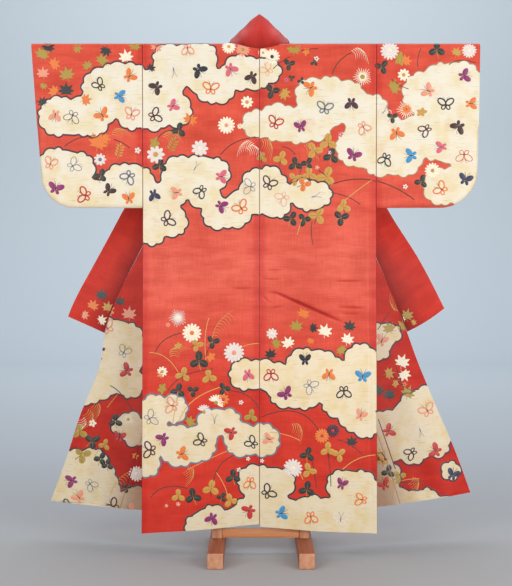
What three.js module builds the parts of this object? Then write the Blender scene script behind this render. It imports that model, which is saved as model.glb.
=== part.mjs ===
// A noh robe of lined silk satin, hung by its sleeves from the rod of a low wooden display stand.
// Its back is towards -Y. Both fronts are folded behind the back and drawn out sideways as wings.
// Units are millimetres, +Z is up. While it is built, x is measured from the centre back seam,
// y from the outer face of the back and z from the floor. "out" is the distance from the centre
// back seam towards either side, "down" the distance along the cloth below the shoulder ridge.

import * as THREE from 'three';

// ---- driving dimensions ----

const WALL = 2;                      // lined silk
const COLLAR_WALL = 3;               // collar band, folded double
const SEAM_GAP = 0.3;                // between neighbouring pieces
const HALF_GAP = SEAM_GAP / 2;

const ROD_RADIUS = 13.5;
const ROD_CENTRE_Z = 1519.7;
const ROD_GAP = 0.8;                 // cloth over the rod, at the corners of its faceted turn
const SHOULDER_RADIUS = ROD_RADIUS + ROD_GAP + WALL;       // outer face of cloth round the rod
const ROD_CENTRE_Y = SHOULDER_RADIUS;
const SHOULDER_ARC = SHOULDER_RADIUS * Math.PI / 2;        // cloth length of a quarter turn

const BODY_LENGTH = 1484;            // shoulder ridge to hem
const BODY_HALF_TOP = 349;           // centre back seam to side seam
const BODY_HALF_HEM = 356;
const NECK_HALF = 85;                // centre back to the neck point
const NECK_DROP = SHOULDER_ARC;      // depth of the back neckline, along the cloth
const PANEL_WIDTH = 350;             // one loom width, side seam to overlap seam
const COLLAR_START = 265;            // cloth width from the side seam to the neck point
const COLLAR_END_DOWN = 905;         // where the collar ends on the front edge
const FRONT_WIDTH = 580;             // side seam to front edge, panel and overlap together
const OVERLAP_START_DOWN = 262;      // the overlap panel runs out to a point under the collar
const FOLD_RADIUS = 14;              // front panel folded back on itself behind the back

const BACK_BULGE = 15;               // soft outward swell of each back width near the hem
const FLUTE_DEPTH = 7;               // soft upright waves of the wings near the hem
const FLUTE_WIDTH = 170;

const SLEEVE_DROP = 492;             // shoulder to the bottom of the sleeve
const WRIST_OPENING = 225;           // open length of the outer edge, from the top
const SLEEVE_CLOSURE = 5;            // inner radius of the closed lower edge
const SLEEVE_FAN = 34;               // top edge that the sections along the closed outer edge share

const POST_SPREAD = 132;             // stand centre to the middle of a post
const STAND_OFFSET = 4;              // the stand's centre lies a little right of the centre seam
const POST_SIZE = { x: 28, y: 24 };
const FOOT_SIZE = { x: 46, y: 400, z: 46 };
const RAIL_SIZE = { y: 16, z: 27 };
const ROD_INSET = 16;                // rod end inside the sleeve end

// sleeveTop: centre back to the wrist along the shoulder; sleeveLean: how far the outer edge draws
// in below it; corner: radius of the sleeve's lower outer corner; hemRise: how far the back hem is
// drawn up at the centre seam, from the side corner
const SIDES = [
  { name: 'left', sign: -1, sleeveTop: 682, sleeveLean: 27, corner: 100, hemRise: 29 },
  { name: 'right', sign: 1, sleeveTop: 659, sleeveLean: 5, corner: 113, hemRise: 21 },
];

// Horizontal sections of one front, from the side seam inwards to a fold, then outwards to the
// front edge. Depth is y of the outer face; rise is above the height of the side seam.
// Pairs hold the left and the right side.
const FRONT_SECTIONS = [
  { down: 0, sideDepth: 16.3, foldOut: 85, foldDepth: 16.3, foldRise: 0,
    edgeOut: [86, 86], edgeDepth: 18, edgeRise: [3.4, 3.4] },
  { down: 25.6, sideDepth: 32.6, foldOut: 90, foldDepth: 32.6, foldRise: 0,
    edgeOut: [94, 94], edgeDepth: 38, edgeRise: [1.5, 1.5] },
  { down: 60, sideDepth: 31.4, foldOut: 92, foldDepth: 36, foldRise: 0,
    edgeOut: [106, 105], edgeDepth: 54, edgeRise: [1.5, 1.5] },
  { down: 100, sideDepth: 29.8, foldOut: 93, foldDepth: 38, foldRise: 0,
    edgeOut: [122, 120], edgeDepth: 72, edgeRise: [3, 3] },
  { down: 225, sideDepth: 25, foldOut: 98, foldDepth: 40, foldRise: 0,
    edgeOut: [185, 180], edgeDepth: 103, edgeRise: [4, 5] },
  { down: 450, sideDepth: 15.5, foldOut: 110, foldDepth: 46, foldRise: 2,
    edgeOut: [285, 275], edgeDepth: 130, edgeRise: [6, 8] },
  { down: 560, sideDepth: 4.3, foldOut: 114, foldDepth: 49, foldRise: 3,
    edgeOut: [334, 321], edgeDepth: 143, edgeRise: [8, 10] },
  { down: 905, sideDepth: 4.3, foldOut: 118, foldDepth: 58, foldRise: 6,
    edgeOut: [488, 466], edgeDepth: 180, edgeRise: [17, 21] },
  { down: 1000, sideDepth: 4.3, foldOut: 132, foldDepth: 62, foldRise: 9,
    edgeOut: [503, 498], edgeDepth: 185, edgeRise: [22, 30] },
  { down: 1190, sideDepth: 4.3, foldOut: 165, foldDepth: 70, foldRise: 17,
    edgeOut: [573, 571], edgeDepth: 197, edgeRise: [31, 48] },
  { down: 1330, sideDepth: 4.3, foldOut: 190, foldDepth: 76, foldRise: 25,
    edgeOut: [616, 625], edgeDepth: 206, edgeRise: [40, 64] },
  { down: 1484, sideDepth: 4.3, foldOut: 215, foldDepth: 82, foldRise: 40,
    edgeOut: [668, 676], edgeDepth: 214, edgeRise: [54, 82] },
];

// Stations of the collar band, by cloth length from the centre back. "lead" is the direction in
// which the band leaves its seam and "reach" the step from the seam to its free edge, both as
// [out, depth, rise]; the right side has its own reach where it differs.
const COLLAR_STATIONS = [
  { along: 0, lead: [0, 0.12, 0.99], reach: [0, 38, 107] },
  { along: 22, lead: [0, 0.2, 0.98], reach: [2, 54, 92] },
  { along: 45, lead: [0, 0.3, 0.95], reach: [5, 79, 67] },
  { along: 90, lead: [0, 0.92, 0.38], reach: [-9, 102, 35] },
  { along: 116, lead: [0, 0.97, 0.24], reach: [-14, 103, 14] },
  { along: 150, lead: [0.2, 0.95, 0.1], reach: [12, 108, 16] },
  { along: 190, lead: [0.45, 0.88, 0.15], reach: [40, 108, 25] },
  { along: 315, lead: [0.58, 0.74, 0.34], reach: [72, 92, 42] },
  { along: 540, lead: [0.63, 0.67, 0.38], reach: [80, 84, 48], rightReach: [74, 88, 50] },
  { along: 670, lead: [0.78, 0.48, 0.41], reach: [97, 60, 51], rightReach: [87, 74, 54] },
  { along: 830, lead: [0.84, 0.3, 0.41], reach: [101, 36, 51], rightReach: [109, 36, 63] },
  { along: 995, lead: [0.9, 0.06, 0.41], reach: [116, 8, 51], rightReach: [118, 8, 73] },
];
const NECK_ALONG = 90;               // collar length from the centre back to the neck point
const NECK_STEPS = 5;                // straight stretches of each half of the back neckline
const RIDGE_STEPS = 5;               // straight stretches of the cloth's quarter turn over the rod

const SILK_RED = { color: 0xd9624f, roughness: 0.55, metalness: 0 };
const SILK_COLLAR = { color: 0xc94a3c, roughness: 0.5, metalness: 0 };
const SILK_SLEEVE = { color: 0xe8d9bd, roughness: 0.6, metalness: 0 };
const WOOD_PALE = { color: 0xc79a72, roughness: 0.7, metalness: 0 };
const WOOD_SHADED = { color: 0xa9734f, roughness: 0.75, metalness: 0 };

// ---- helpers ----

const vec = (x, y, z) => new THREE.Vector3(x, y, z);
const lerp = THREE.MathUtils.lerp;
const clamp = THREE.MathUtils.clamp;

// evenly spaced numbers from first to last
function steps(first, last, count) {
  return Array.from({ length: count + 1 }, (_, i) => lerp(first, last, i / count));
}

// smooth curve through one column of a table, which never swings past a row's own value;
// the column is picked from a row by read(row)
function through(rows, key, at, read) {
  const last = rows.length - 1;
  let i = 0;
  while (i < last - 1 && at > rows[i + 1][key]) i += 1;
  const rate = (j) => (read(rows[j + 1]) - read(rows[j])) / (rows[j + 1][key] - rows[j][key]);
  const slope = (j) => {
    if (j === 0) return rate(0);
    if (j === last) return rate(last - 1);
    const [before, after] = [rate(j - 1), rate(j)];
    return before * after > 0 ? 2 * before * after / (before + after) : 0;
  };
  const span = rows[i + 1][key] - rows[i][key];
  const t = clamp((at - rows[i][key]) / span, 0, 1);
  const h00 = (1 + 2 * t) * (1 - t) ** 2;
  const h10 = t * (1 - t) ** 2;
  const h01 = t * t * (3 - 2 * t);
  const h11 = t * t * (t - 1);
  return h00 * read(rows[i]) + h10 * span * slope(i) + h01 * read(rows[i + 1])
    + h11 * span * slope(i + 1);
}

// height of the side seam above the floor, and cloth over the rod above it
function seamHeight(down) {
  if (down < SHOULDER_ARC) return ROD_CENTRE_Z + SHOULDER_RADIUS * Math.cos(down / SHOULDER_RADIUS);
  return ROD_CENTRE_Z - (down - SHOULDER_ARC);
}

// centre back to side seam; the body widens a little below the sleeves
function halfWidth(down) {
  const below = clamp((down - SLEEVE_DROP) / (BODY_LENGTH - SLEEVE_DROP), 0, 1);
  return lerp(BODY_HALF_TOP, BODY_HALF_HEM, below);
}

// a closed body between two grids of points of the same size; a ring grid closes on itself
function bodyBetween(outer, inner, ring = false) {
  const rows = outer.length;
  const columns = outer[0].length;
  const positions = [...outer.flat(), ...inner.flat()].flatMap((p) => [p.x, p.y, p.z]);
  const index = [];
  const at = (r, c, layer) => layer * rows * columns + r * columns + (c % columns);
  const quad = (a, b, c, d) => index.push(a, b, c, a, c, d);
  const spans = ring ? columns : columns - 1;
  for (let r = 0; r < rows - 1; r += 1) {
    for (let c = 0; c < spans; c += 1) {
      quad(at(r, c, 0), at(r + 1, c, 0), at(r + 1, c + 1, 0), at(r, c + 1, 0));
      quad(at(r, c, 1), at(r, c + 1, 1), at(r + 1, c + 1, 1), at(r + 1, c, 1));
    }
  }
  for (let c = 0; c < spans; c += 1) {
    quad(at(0, c, 0), at(0, c + 1, 0), at(0, c + 1, 1), at(0, c, 1));
    quad(at(rows - 1, c, 1), at(rows - 1, c + 1, 1), at(rows - 1, c + 1, 0), at(rows - 1, c, 0));
  }
  if (!ring) {
    for (let r = 0; r < rows - 1; r += 1) {
      quad(at(r, 0, 1), at(r + 1, 0, 1), at(r + 1, 0, 0), at(r, 0, 0));
      quad(at(r, columns - 1, 0), at(r + 1, columns - 1, 0), at(r + 1, columns - 1, 1),
        at(r, columns - 1, 1));
    }
  }
  return closedGeometry(positions, index);
}

// buffer geometry with its faces turned outwards
function closedGeometry(positions, index) {
  const point = (i) => vec(positions[3 * i], positions[3 * i + 1], positions[3 * i + 2]);
  let volume = 0;
  for (let i = 0; i < index.length; i += 3) {
    const [a, b, c] = [point(index[i]), point(index[i + 1]), point(index[i + 2])];
    volume += a.dot(b.cross(c));
  }
  if (volume < 0) index.reverse();
  const geometry = new THREE.BufferGeometry();
  geometry.setAttribute('position', new THREE.Float32BufferAttribute(positions, 3));
  geometry.setIndex(index);
  geometry.computeVertexNormals();
  return geometry;
}

// direction of a line of points at one of them, with the curve carried on at both ends
function tangentAt(line, i) {
  const last = line.length - 1;
  if (i > 0 && i < last) return line[i + 1].clone().sub(line[i - 1]);
  const [a, b, c] = i === 0 ? line : [line[last], line[last - 1], line[last - 2]];
  const ahead = b.clone().sub(a).multiplyScalar(4).sub(c.clone().sub(a));
  return i === 0 ? ahead : ahead.negate();
}

// the grid moved by a distance along its own normals; side 1 or -1 picks the face
function offsetGrid(grid, distance, side) {
  return grid.map((row, r) => row.map((p, c) => {
    const down = tangentAt(grid.map((line) => line[c]), r);
    const normal = tangentAt(row, c).cross(down).normalize();
    return p.clone().addScaledVector(normal, distance * side);
  }));
}

function meshOf(name, geometry, finish) {
  const mesh = new THREE.Mesh(geometry, new THREE.MeshStandardMaterial(finish));
  mesh.name = name;
  return mesh;
}

// ---- back ----

function backNeckline(out) {
  if (out >= NECK_HALF) return 0;
  return NECK_DROP * (1 - (out / NECK_HALF) ** 2);
}

// outer face of the back, over the rod at the top and softly swelling towards the hem
function backPoint(side, out, down) {
  const across = out / BODY_HALF_TOP;
  const low = clamp(down / BODY_LENGTH, 0, 1);
  const x = side.sign * across * halfWidth(down);
  if (down < SHOULDER_ARC) {
    const turn = down / SHOULDER_RADIUS;
    return vec(x,
      ROD_CENTRE_Y - SHOULDER_RADIUS * Math.sin(turn),
      ROD_CENTRE_Z + SHOULDER_RADIUS * Math.cos(turn));
  }
  const swell = Math.sin(Math.PI * across) ** 2 * Math.sin(low * Math.PI / 2) ** 2;
  const drawnUp = side.hemRise * (1 - across) * low ** 3;
  return vec(x, -BACK_BULGE * swell, seamHeight(down) + drawnUp);
}

function backPanel(side) {
  const neckBlend = 70;              // rows above this depth follow the neckline
  const downs = [...steps(HALF_GAP, SHOULDER_ARC, RIDGE_STEPS), 45, neckBlend,
    ...steps(125, BODY_LENGTH, 20)];
  const outs = [...steps(HALF_GAP, NECK_HALF, NECK_STEPS),
    ...steps(120, BODY_HALF_TOP - HALF_GAP, 7)];
  const outer = downs.map((down) => outs.map((out) => {
    const neck = backNeckline(out);
    const lowered = down < neckBlend ? neck + down * (neckBlend - neck) / neckBlend : down;
    return backPoint(side, out, lowered);
  }));
  const inner = offsetGrid(outer, WALL, side.sign);
  return meshOf(`back_${side.name}`, bodyBetween(outer, inner), SILK_RED);
}

// ---- fronts and overlap panels ----

// rows of a front: close together over the rod and beside the neck, wider apart below
const FRONT_DOWNS = [...steps(HALF_GAP, SHOULDER_ARC, RIDGE_STEPS), 42, 60, 80, 100, 140, 180, 225,
  ...steps(OVERLAP_START_DOWN, COLLAR_END_DOWN, 10),
  ...steps(COLLAR_END_DOWN, BODY_LENGTH, 9).slice(1)];

// cloth width of a front from its side seam to its collar seam or front edge
function frontWidth(down) {
  return Math.min(lerp(COLLAR_START, FRONT_WIDTH, down / COLLAR_END_DOWN), FRONT_WIDTH);
}

function sectionValue(down, read) {
  return through(FRONT_SECTIONS, 'down', down, read);
}

// path from the side seam round the fold to the front edge, with its lengths
function frontSection(side, down) {
  const pick = side.sign < 0 ? 0 : 1;
  const height = seamHeight(down);
  const sideOut = halfWidth(down) - HALF_GAP;
  const overRod = down < SHOULDER_ARC;
  const rodTurn = Math.min(down, SHOULDER_ARC) / SHOULDER_RADIUS;
  const rodDepth = ROD_CENTRE_Y + SHOULDER_RADIUS * Math.sin(rodTurn);
  const seam = vec(sideOut, overRod ? rodDepth : sectionValue(down, (r) => r.sideDepth), height);
  const fold = vec(
    sectionValue(down, (r) => r.foldOut),
    overRod ? rodDepth : sectionValue(down, (r) => r.foldDepth),
    height + sectionValue(down, (r) => r.foldRise),
  );
  const edge = vec(
    sectionValue(down, (r) => r.edgeOut[pick]),
    sectionValue(down, (r) => r.edgeDepth),
    height + sectionValue(down, (r) => r.edgeRise[pick]),
  );
  const inward = fold.clone().sub(seam);
  const outward = edge.clone().sub(fold);
  const turn = inward.angleTo(outward);
  const spare = 0.45 * Math.min(inward.length(), outward.length());
  const tangent = Math.min(FOLD_RADIUS * Math.tan(turn / 2), spare);
  const radius = tangent / Math.tan(turn / 2);
  const before = inward.length() - tangent;
  const after = outward.length() - tangent;
  inward.normalize();
  outward.normalize();
  const across = outward.clone().addScaledVector(inward, -outward.dot(inward)).normalize();
  const foldStart = seam.clone().addScaledVector(inward, before);
  const centre = foldStart.clone().addScaledVector(across, radius);
  const round = radius * turn;
  return { seam, edge, inward, outward, across, centre, radius, before, round, after, fold, tangent };
}

function sectionLength(path) {
  return path.before + path.round + path.after;
}

function sectionPoint(path, length) {
  if (length <= path.before) return path.seam.clone().addScaledVector(path.inward, length);
  if (length < path.before + path.round) {
    const angle = (length - path.before) / path.radius;
    return path.centre.clone()
      .addScaledVector(path.across, -path.radius * Math.cos(angle))
      .addScaledVector(path.inward, path.radius * Math.sin(angle));
  }
  const rest = length - path.before - path.round;
  return path.fold.clone().addScaledVector(path.outward, path.tangent + rest);
}

// soft upright waves of the wing, growing from the collar's end to the hem
function flute(cloth, down) {
  const grown = clamp((down - 600) / (BODY_LENGTH - 600), 0, 1);
  const free = clamp((cloth - 260) / 80, 0, 1);
  return -FLUTE_DEPTH * grown * free * Math.sin(2 * Math.PI * (cloth - 300) / FLUTE_WIDTH);
}

function frontPoint(side, down, path, length) {
  const point = sectionPoint(path, length);
  const cloth = frontWidth(down) * length / sectionLength(path);
  point.y += flute(cloth, down);
  point.x *= side.sign;
  return point;
}

// one point of a front on both faces of the cloth, at a share of its width
function frontFaces(side, down, length) {
  const ownLength = sectionLength(frontSection(side, down));
  const at = (d, extra) => {
    const path = frontSection(side, d);
    return frontPoint(side, d, path, (length + extra) * sectionLength(path) / ownLength);
  };
  const above = Math.max(down - 1, 0);
  const below = Math.min(down + 1, BODY_LENGTH);
  const along = at(down, 1).sub(at(down, -1));
  const normal = along.cross(at(below, 0).sub(at(above, 0))).normalize();
  const outer = at(down, 0);
  return { outer, inner: outer.clone().addScaledVector(normal, WALL * side.sign) };
}

function frontBody(side, downs, lengthsOf) {
  const faces = downs.map((down) => lengthsOf(down).map((length) => frontFaces(side, down, length)));
  const layer = (key) => faces.map((row) => row.map((face) => face[key]));
  return bodyBetween(layer('outer'), layer('inner'));
}

function panelEnd(down, path) {
  const width = Math.min(frontWidth(down), PANEL_WIDTH);
  return sectionLength(path) * width / frontWidth(down) - HALF_GAP;
}

function frontPanel(side) {
  const geometry = frontBody(side, FRONT_DOWNS, (down) => {
    const path = frontSection(side, down);
    const turned = path.before + path.round;
    return [
      ...steps(0, path.before, 5),
      ...steps(path.before, turned, 5).slice(1),
      ...steps(turned, panelEnd(down, path), 4).slice(1),
    ];
  });
  return meshOf(`front_${side.name}`, geometry, SILK_RED);
}

function overlapPanel(side) {
  const downs = FRONT_DOWNS.filter((down) => down >= OVERLAP_START_DOWN);
  const geometry = frontBody(side, downs, (down) => {
    const path = frontSection(side, down);
    return steps(panelEnd(down, path) + SEAM_GAP, sectionLength(path), 5);
  });
  return meshOf(`okumi_${side.name}`, geometry, SILK_RED);
}

// ---- sleeves ----

// Each sleeve is one tube. A section runs from a point on the top edge to a point on the lower
// outline, which goes along the bottom, round the corner and up to the wrist opening.
function sleeveSections(side) {
  const start = BODY_HALF_TOP + SEAM_GAP;
  const top = ROD_CENTRE_Z + SHOULDER_RADIUS;
  const bottom = top - SLEEVE_DROP;
  const { corner } = side;
  const lean = side.sleeveLean / (SLEEVE_DROP - corner);
  const edgeOut = (z) => side.sleeveTop - lean * (top - z);
  const cornerOut = edgeOut(bottom + corner) - corner;
  const wristZ = top - WRIST_OPENING;
  const straight = steps(start, cornerOut, 5).map((out) => ({ topOut: out, out, z: bottom }));
  const cornerTop = side.sleeveTop - SLEEVE_FAN;
  const turned = steps(0, Math.PI / 2, 6).slice(1).map((angle) => ({
    topOut: lerp(cornerOut, cornerTop, angle / (Math.PI / 2)),
    out: cornerOut + corner * Math.sin(angle),
    z: bottom + corner * (1 - Math.cos(angle)),
  }));
  const edge = steps(bottom + corner, wristZ, 3).slice(1).map((z, i, all) => ({
    topOut: lerp(cornerTop, side.sleeveTop, (i + 1) / all.length),
    out: edgeOut(z),
    z,
  }));
  return [...straight, ...turned, ...edge].map((s) => ({
    high: vec(s.topOut, 0, top),
    low: vec(s.out, 0, s.z),
  }));
}

// one closed ring of a sleeve, with its wall's outer face (shrink 0) or inner face (shrink WALL)
function sleeveRing(side, section, shrink) {
  const { high, low } = section;
  const down = low.clone().sub(high).normalize();
  const height = high.distanceTo(low);
  const topRadius = SHOULDER_RADIUS - shrink;
  const lowRadius = SLEEVE_CLOSURE + WALL - shrink;
  const lowY = SLEEVE_CLOSURE + WALL;
  const lowCentre = height - SLEEVE_CLOSURE - WALL;
  const place = (along, y) => {
    const point = high.clone().addScaledVector(down, along);
    return vec(side.sign * point.x, y, point.z);
  };
  const points = [];
  for (const angle of steps(-Math.PI / 2, Math.PI / 2, 6)) {
    points.push(place(SHOULDER_RADIUS - topRadius * Math.cos(angle),
      ROD_CENTRE_Y + topRadius * Math.sin(angle)));
  }
  for (const t of steps(0, 1, 5).slice(1, -1)) {
    points.push(place(lerp(SHOULDER_RADIUS, lowCentre, t),
      lerp(ROD_CENTRE_Y + topRadius, lowY + lowRadius, t)));
  }
  for (const angle of steps(Math.PI / 2, -Math.PI / 2, 4)) {
    points.push(place(lowCentre + lowRadius * Math.cos(angle), lowY + lowRadius * Math.sin(angle)));
  }
  for (const t of steps(1, 0, 5).slice(1, -1)) {
    points.push(place(lerp(SHOULDER_RADIUS, lowCentre, t), shrink));
  }
  return points;
}

function sleeve(side) {
  const sections = sleeveSections(side);
  const outer = sections.map((section) => sleeveRing(side, section, 0));
  const inner = sections.map((section) => sleeveRing(side, section, WALL));
  return meshOf(`sleeve_${side.name}`, bodyBetween(outer, inner, true), SILK_SLEEVE);
}

// ---- collar ----

function collarSeam(side, along) {
  if (along < NECK_ALONG) {
    const out = NECK_HALF * along / NECK_ALONG;
    const neck = backPoint(side, out, backNeckline(out));
    return vec(out, neck.y, neck.z);
  }
  return frontSection(side, along - NECK_ALONG).edge;
}

function collarValue(side, along, column, axis) {
  return through(COLLAR_STATIONS, 'along', along, (row) => {
    const own = column === 'reach' && side.sign > 0 && row.rightReach ? row.rightReach : row[column];
    return own[axis];
  });
}

// the band's face towards the neck, from its seam to its free edge
function collarRow(side, along) {
  const axis = [0, 1, 2];
  const lead = vec(...axis.map((i) => collarValue(side, along, 'lead', i))).normalize();
  const reach = vec(...axis.map((i) => collarValue(side, along, 'reach', i)));
  const seam = collarSeam(side, along).addScaledVector(lead, SEAM_GAP);
  const middle = seam.clone().addScaledVector(lead, reach.length() / 2);
  const curve = new THREE.QuadraticBezierCurve3(seam, middle, seam.clone().add(reach));
  return curve.getPoints(4).map((p) => vec(side.sign * p.x, p.y, p.z));
}

function collar() {
  const downs = FRONT_DOWNS.filter((down) => down <= COLLAR_END_DOWN);
  const alongs = [...steps(0, NECK_ALONG, NECK_STEPS).slice(0, -1),
    ...downs.map((down) => NECK_ALONG + down)];
  const [left, right] = SIDES;
  const inner = [
    ...alongs.slice(1).reverse().map((along) => collarRow(left, along)),
    ...alongs.map((along) => collarRow(right, along)),
  ];
  const outer = offsetGrid(inner, COLLAR_WALL, -1);
  return meshOf('collar', bodyBetween(outer, inner), SILK_COLLAR);
}

// ---- stand ----

// an upright with a hollowed top in which the rod lies
function post(name, x) {
  const seat = ROD_RADIUS + SEAM_GAP;
  const half = POST_SIZE.y / 2;
  const reach = Math.asin(half / seat);
  const base = FOOT_SIZE.z + SEAM_GAP;
  const shape = new THREE.Shape();
  shape.moveTo(-half, base);
  shape.lineTo(half, base);
  shape.lineTo(half, ROD_CENTRE_Z - seat * Math.cos(reach));
  shape.absarc(0, ROD_CENTRE_Z, seat, -Math.PI / 2 + reach, -Math.PI / 2 - reach, true);
  shape.closePath();
  const options = { depth: POST_SIZE.x, bevelEnabled: false, curveSegments: 8 };
  const geometry = new THREE.ExtrudeGeometry(shape, options);
  geometry.translate(0, 0, -POST_SIZE.x / 2);
  const mesh = meshOf(name, geometry, WOOD_PALE);
  mesh.rotation.set(Math.PI / 2, Math.PI / 2, 0);
  mesh.position.set(x, ROD_CENTRE_Y, 0);
  return mesh;
}

function block(name, size, centre, finish) {
  const mesh = meshOf(name, new THREE.BoxGeometry(size.x, size.y, size.z), finish);
  mesh.position.copy(centre);
  return mesh;
}

function rod() {
  const [left, right] = SIDES.map((side) => side.sign * (side.sleeveTop - ROD_INSET));
  const geometry = new THREE.CylinderGeometry(ROD_RADIUS, ROD_RADIUS, right - left, 20);
  const mesh = meshOf('rod', geometry, WOOD_PALE);
  mesh.rotation.z = Math.PI / 2;
  mesh.position.set((left + right) / 2, ROD_CENTRE_Y, ROD_CENTRE_Z);
  return mesh;
}

function stand() {
  const group = new THREE.Group();
  group.add(rod());
  for (const side of SIDES) {
    const x = STAND_OFFSET + side.sign * POST_SPREAD;
    group.add(post(`post_${side.name}`, x));
    const footCentre = vec(x, ROD_CENTRE_Y, FOOT_SIZE.z / 2);
    group.add(block(`foot_${side.name}`, FOOT_SIZE, footCentre, WOOD_PALE));
  }
  const railLength = 2 * POST_SPREAD - POST_SIZE.x - 2 * SEAM_GAP;
  const railSize = { x: railLength, y: RAIL_SIZE.y, z: RAIL_SIZE.z };
  const railZ = FOOT_SIZE.z + SEAM_GAP + RAIL_SIZE.z / 2;
  group.add(block('lower_rail', railSize, vec(STAND_OFFSET, ROD_CENTRE_Y, railZ), WOOD_SHADED));
  return group;
}

// ---- assembly ----

function robe() {
  const group = new THREE.Group();
  for (const side of SIDES) {
    group.add(backPanel(side), frontPanel(side), overlapPanel(side), sleeve(side));
  }
  group.add(collar());
  return group;
}

const piece = new THREE.Group();
piece.add(robe(), stand());

// the origin lies on the floor, in the middle of the whole
const whole = new THREE.Box3().setFromObject(piece, true);
const middle = whole.getCenter(vec(0, 0, 0));
piece.position.set(-middle.x, -middle.y, -whole.min.z);

export default piece;
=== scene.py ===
import math

import bmesh
import bpy
import numpy as np
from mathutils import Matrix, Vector
from mathutils.geometry import delaunay_2d_cdt


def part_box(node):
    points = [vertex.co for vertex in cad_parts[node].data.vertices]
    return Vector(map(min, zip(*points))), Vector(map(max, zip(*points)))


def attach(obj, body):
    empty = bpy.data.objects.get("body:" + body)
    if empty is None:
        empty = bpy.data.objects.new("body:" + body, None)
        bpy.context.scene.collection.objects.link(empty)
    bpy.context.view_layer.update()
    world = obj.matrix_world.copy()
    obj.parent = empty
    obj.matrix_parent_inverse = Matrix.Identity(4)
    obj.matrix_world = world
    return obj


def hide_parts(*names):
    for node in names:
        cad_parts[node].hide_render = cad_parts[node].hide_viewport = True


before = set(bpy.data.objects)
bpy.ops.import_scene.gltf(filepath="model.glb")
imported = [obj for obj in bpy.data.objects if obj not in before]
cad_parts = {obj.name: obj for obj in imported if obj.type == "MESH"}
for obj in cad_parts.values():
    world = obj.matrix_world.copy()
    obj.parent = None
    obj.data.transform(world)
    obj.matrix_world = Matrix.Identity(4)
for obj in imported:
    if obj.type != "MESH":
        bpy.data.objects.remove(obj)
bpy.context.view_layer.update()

# ---- driving sizes in millimetres ----
# Garment frame: x from the centre back seam, y from the outer face of the back (the photo's
# viewer is at -y), z above the floor. "out" is the distance to either side and "down" the cloth
# length below the shoulder ridge.
MM = 0.001
HALF_GAP = 0.15
SEAM = 0.03                      # half the gap that two shells keep at a seam
CLOTH = 1.7                      # thickness of a shell, just less than its solid's wall
ARM_RADIUS = 16.3                # outer face of the cloth over the rod
ARC = ARM_RADIUS * math.pi / 2
ROD_Z = 1519.7
LENGTH = 1484.0
HALF_TOP, HALF_HEM = 349.0, 356.0
NECK_HALF = 85.0
PANEL = 350.0
COLLAR_START, COLLAR_END = 265.0, 905.0
COLLAR_WIDE, COLLAR_HALF = 120.0, 995.0
FRONT_WIDTH = 580.0
OKUMI_START = 262.0
FOLD_RADIUS = 14.0
BACK_BULGE = 15.0
FLUTE, FLUTE_WIDTH = 7.0, 170.0
SLEEVE_DROP = 492.0
WRIST = 225.0
SLEEVE_END = ARC + SLEEVE_DROP - ARM_RADIUS
NECK_ALONG = 90.0
RIGHT, LEFT = 1, -1
SLEEVES = {                      # top width out, lean of the edge, corner radius, rise of the hem
    LEFT: {"top": 682.0, "lean": 27.0, "corner": 100.0, "rise": 29.0},
    RIGHT: {"top": 659.0, "lean": 5.0, "corner": 113.0, "rise": 21.0},
}
SIDE_NAME = {LEFT: "left", RIGHT: "right"}

# a front's section at some cloth lengths below the shoulder; pairs are left and right
FRONT_COLUMNS = ("down", "side_depth", "fold_out", "fold_depth", "fold_rise",
                 "edge_out_left", "edge_out_right", "edge_depth", "edge_rise_left", "edge_rise_right")
FRONT_ROWS = (
    (0, 16.3, 85, 16.3, 0, 86, 86, 18, 3.4, 3.4),
    (25.6, 32.6, 90, 32.6, 0, 94, 94, 38, 1.5, 1.5),
    (60, 31.4, 92, 36, 0, 106, 105, 54, 1.5, 1.5),
    (100, 29.8, 93, 38, 0, 122, 120, 72, 3, 3),
    (225, 25, 98, 40, 0, 185, 180, 103, 4, 5),
    (450, 15.5, 110, 46, 2, 285, 275, 130, 6, 8),
    (560, 4.3, 114, 49, 3, 334, 321, 143, 8, 10),
    (905, 4.3, 118, 58, 6, 488, 466, 180, 17, 21),
    (1000, 4.3, 132, 62, 9, 503, 498, 185, 22, 30),
    (1190, 4.3, 165, 70, 17, 573, 571, 197, 31, 48),
    (1330, 4.3, 190, 76, 25, 616, 625, 206, 40, 64),
    (1484, 4.3, 215, 82, 40, 668, 676, 214, 54, 82),
)
# the collar band: where it leaves its seam (lead) and its step to the free edge (reach)
COLLAR_COLUMNS = ("along", "lead_out", "lead_depth", "lead_rise", "reach_out", "reach_depth",
                  "reach_rise", "right_out", "right_depth", "right_rise")
COLLAR_ROWS = (
    (0, 0, .12, .99, 0, 38, 107, 0, 38, 107),
    (22, 0, .2, .98, 2, 54, 92, 2, 54, 92),
    (45, 0, .3, .95, 5, 79, 67, 5, 79, 67),
    (90, 0, .92, .38, -9, 102, 35, -9, 102, 35),
    (116, 0, .97, .24, -14, 103, 14, -14, 103, 14),
    (150, .2, .95, .1, 12, 108, 16, 12, 108, 16),
    (190, .45, .88, .15, 40, 108, 25, 40, 108, 25),
    (315, .58, .74, .34, 72, 92, 42, 72, 92, 42),
    (540, .63, .67, .38, 80, 84, 48, 74, 88, 50),
    (670, .78, .48, .41, 97, 60, 51, 87, 74, 54),
    (830, .84, .3, .41, 101, 36, 51, 109, 36, 63),
    (995, .9, .06, .41, 116, 8, 51, 118, 8, 73),
)

# ---- where the garment stands in the part's frame ----
BACK_LEFT, BACK_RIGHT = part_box("back_left"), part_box("back_right")
ROD_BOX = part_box("rod")
ORIGIN = np.array([
    (BACK_LEFT[1].x + BACK_RIGHT[0].x) / 2,
    (ROD_BOX[0].y + ROD_BOX[1].y) / 2 - ARM_RADIUS * MM,
    0.0,
])


def in_frame(points):
    return np.asarray(points) * MM + ORIGIN


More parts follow.
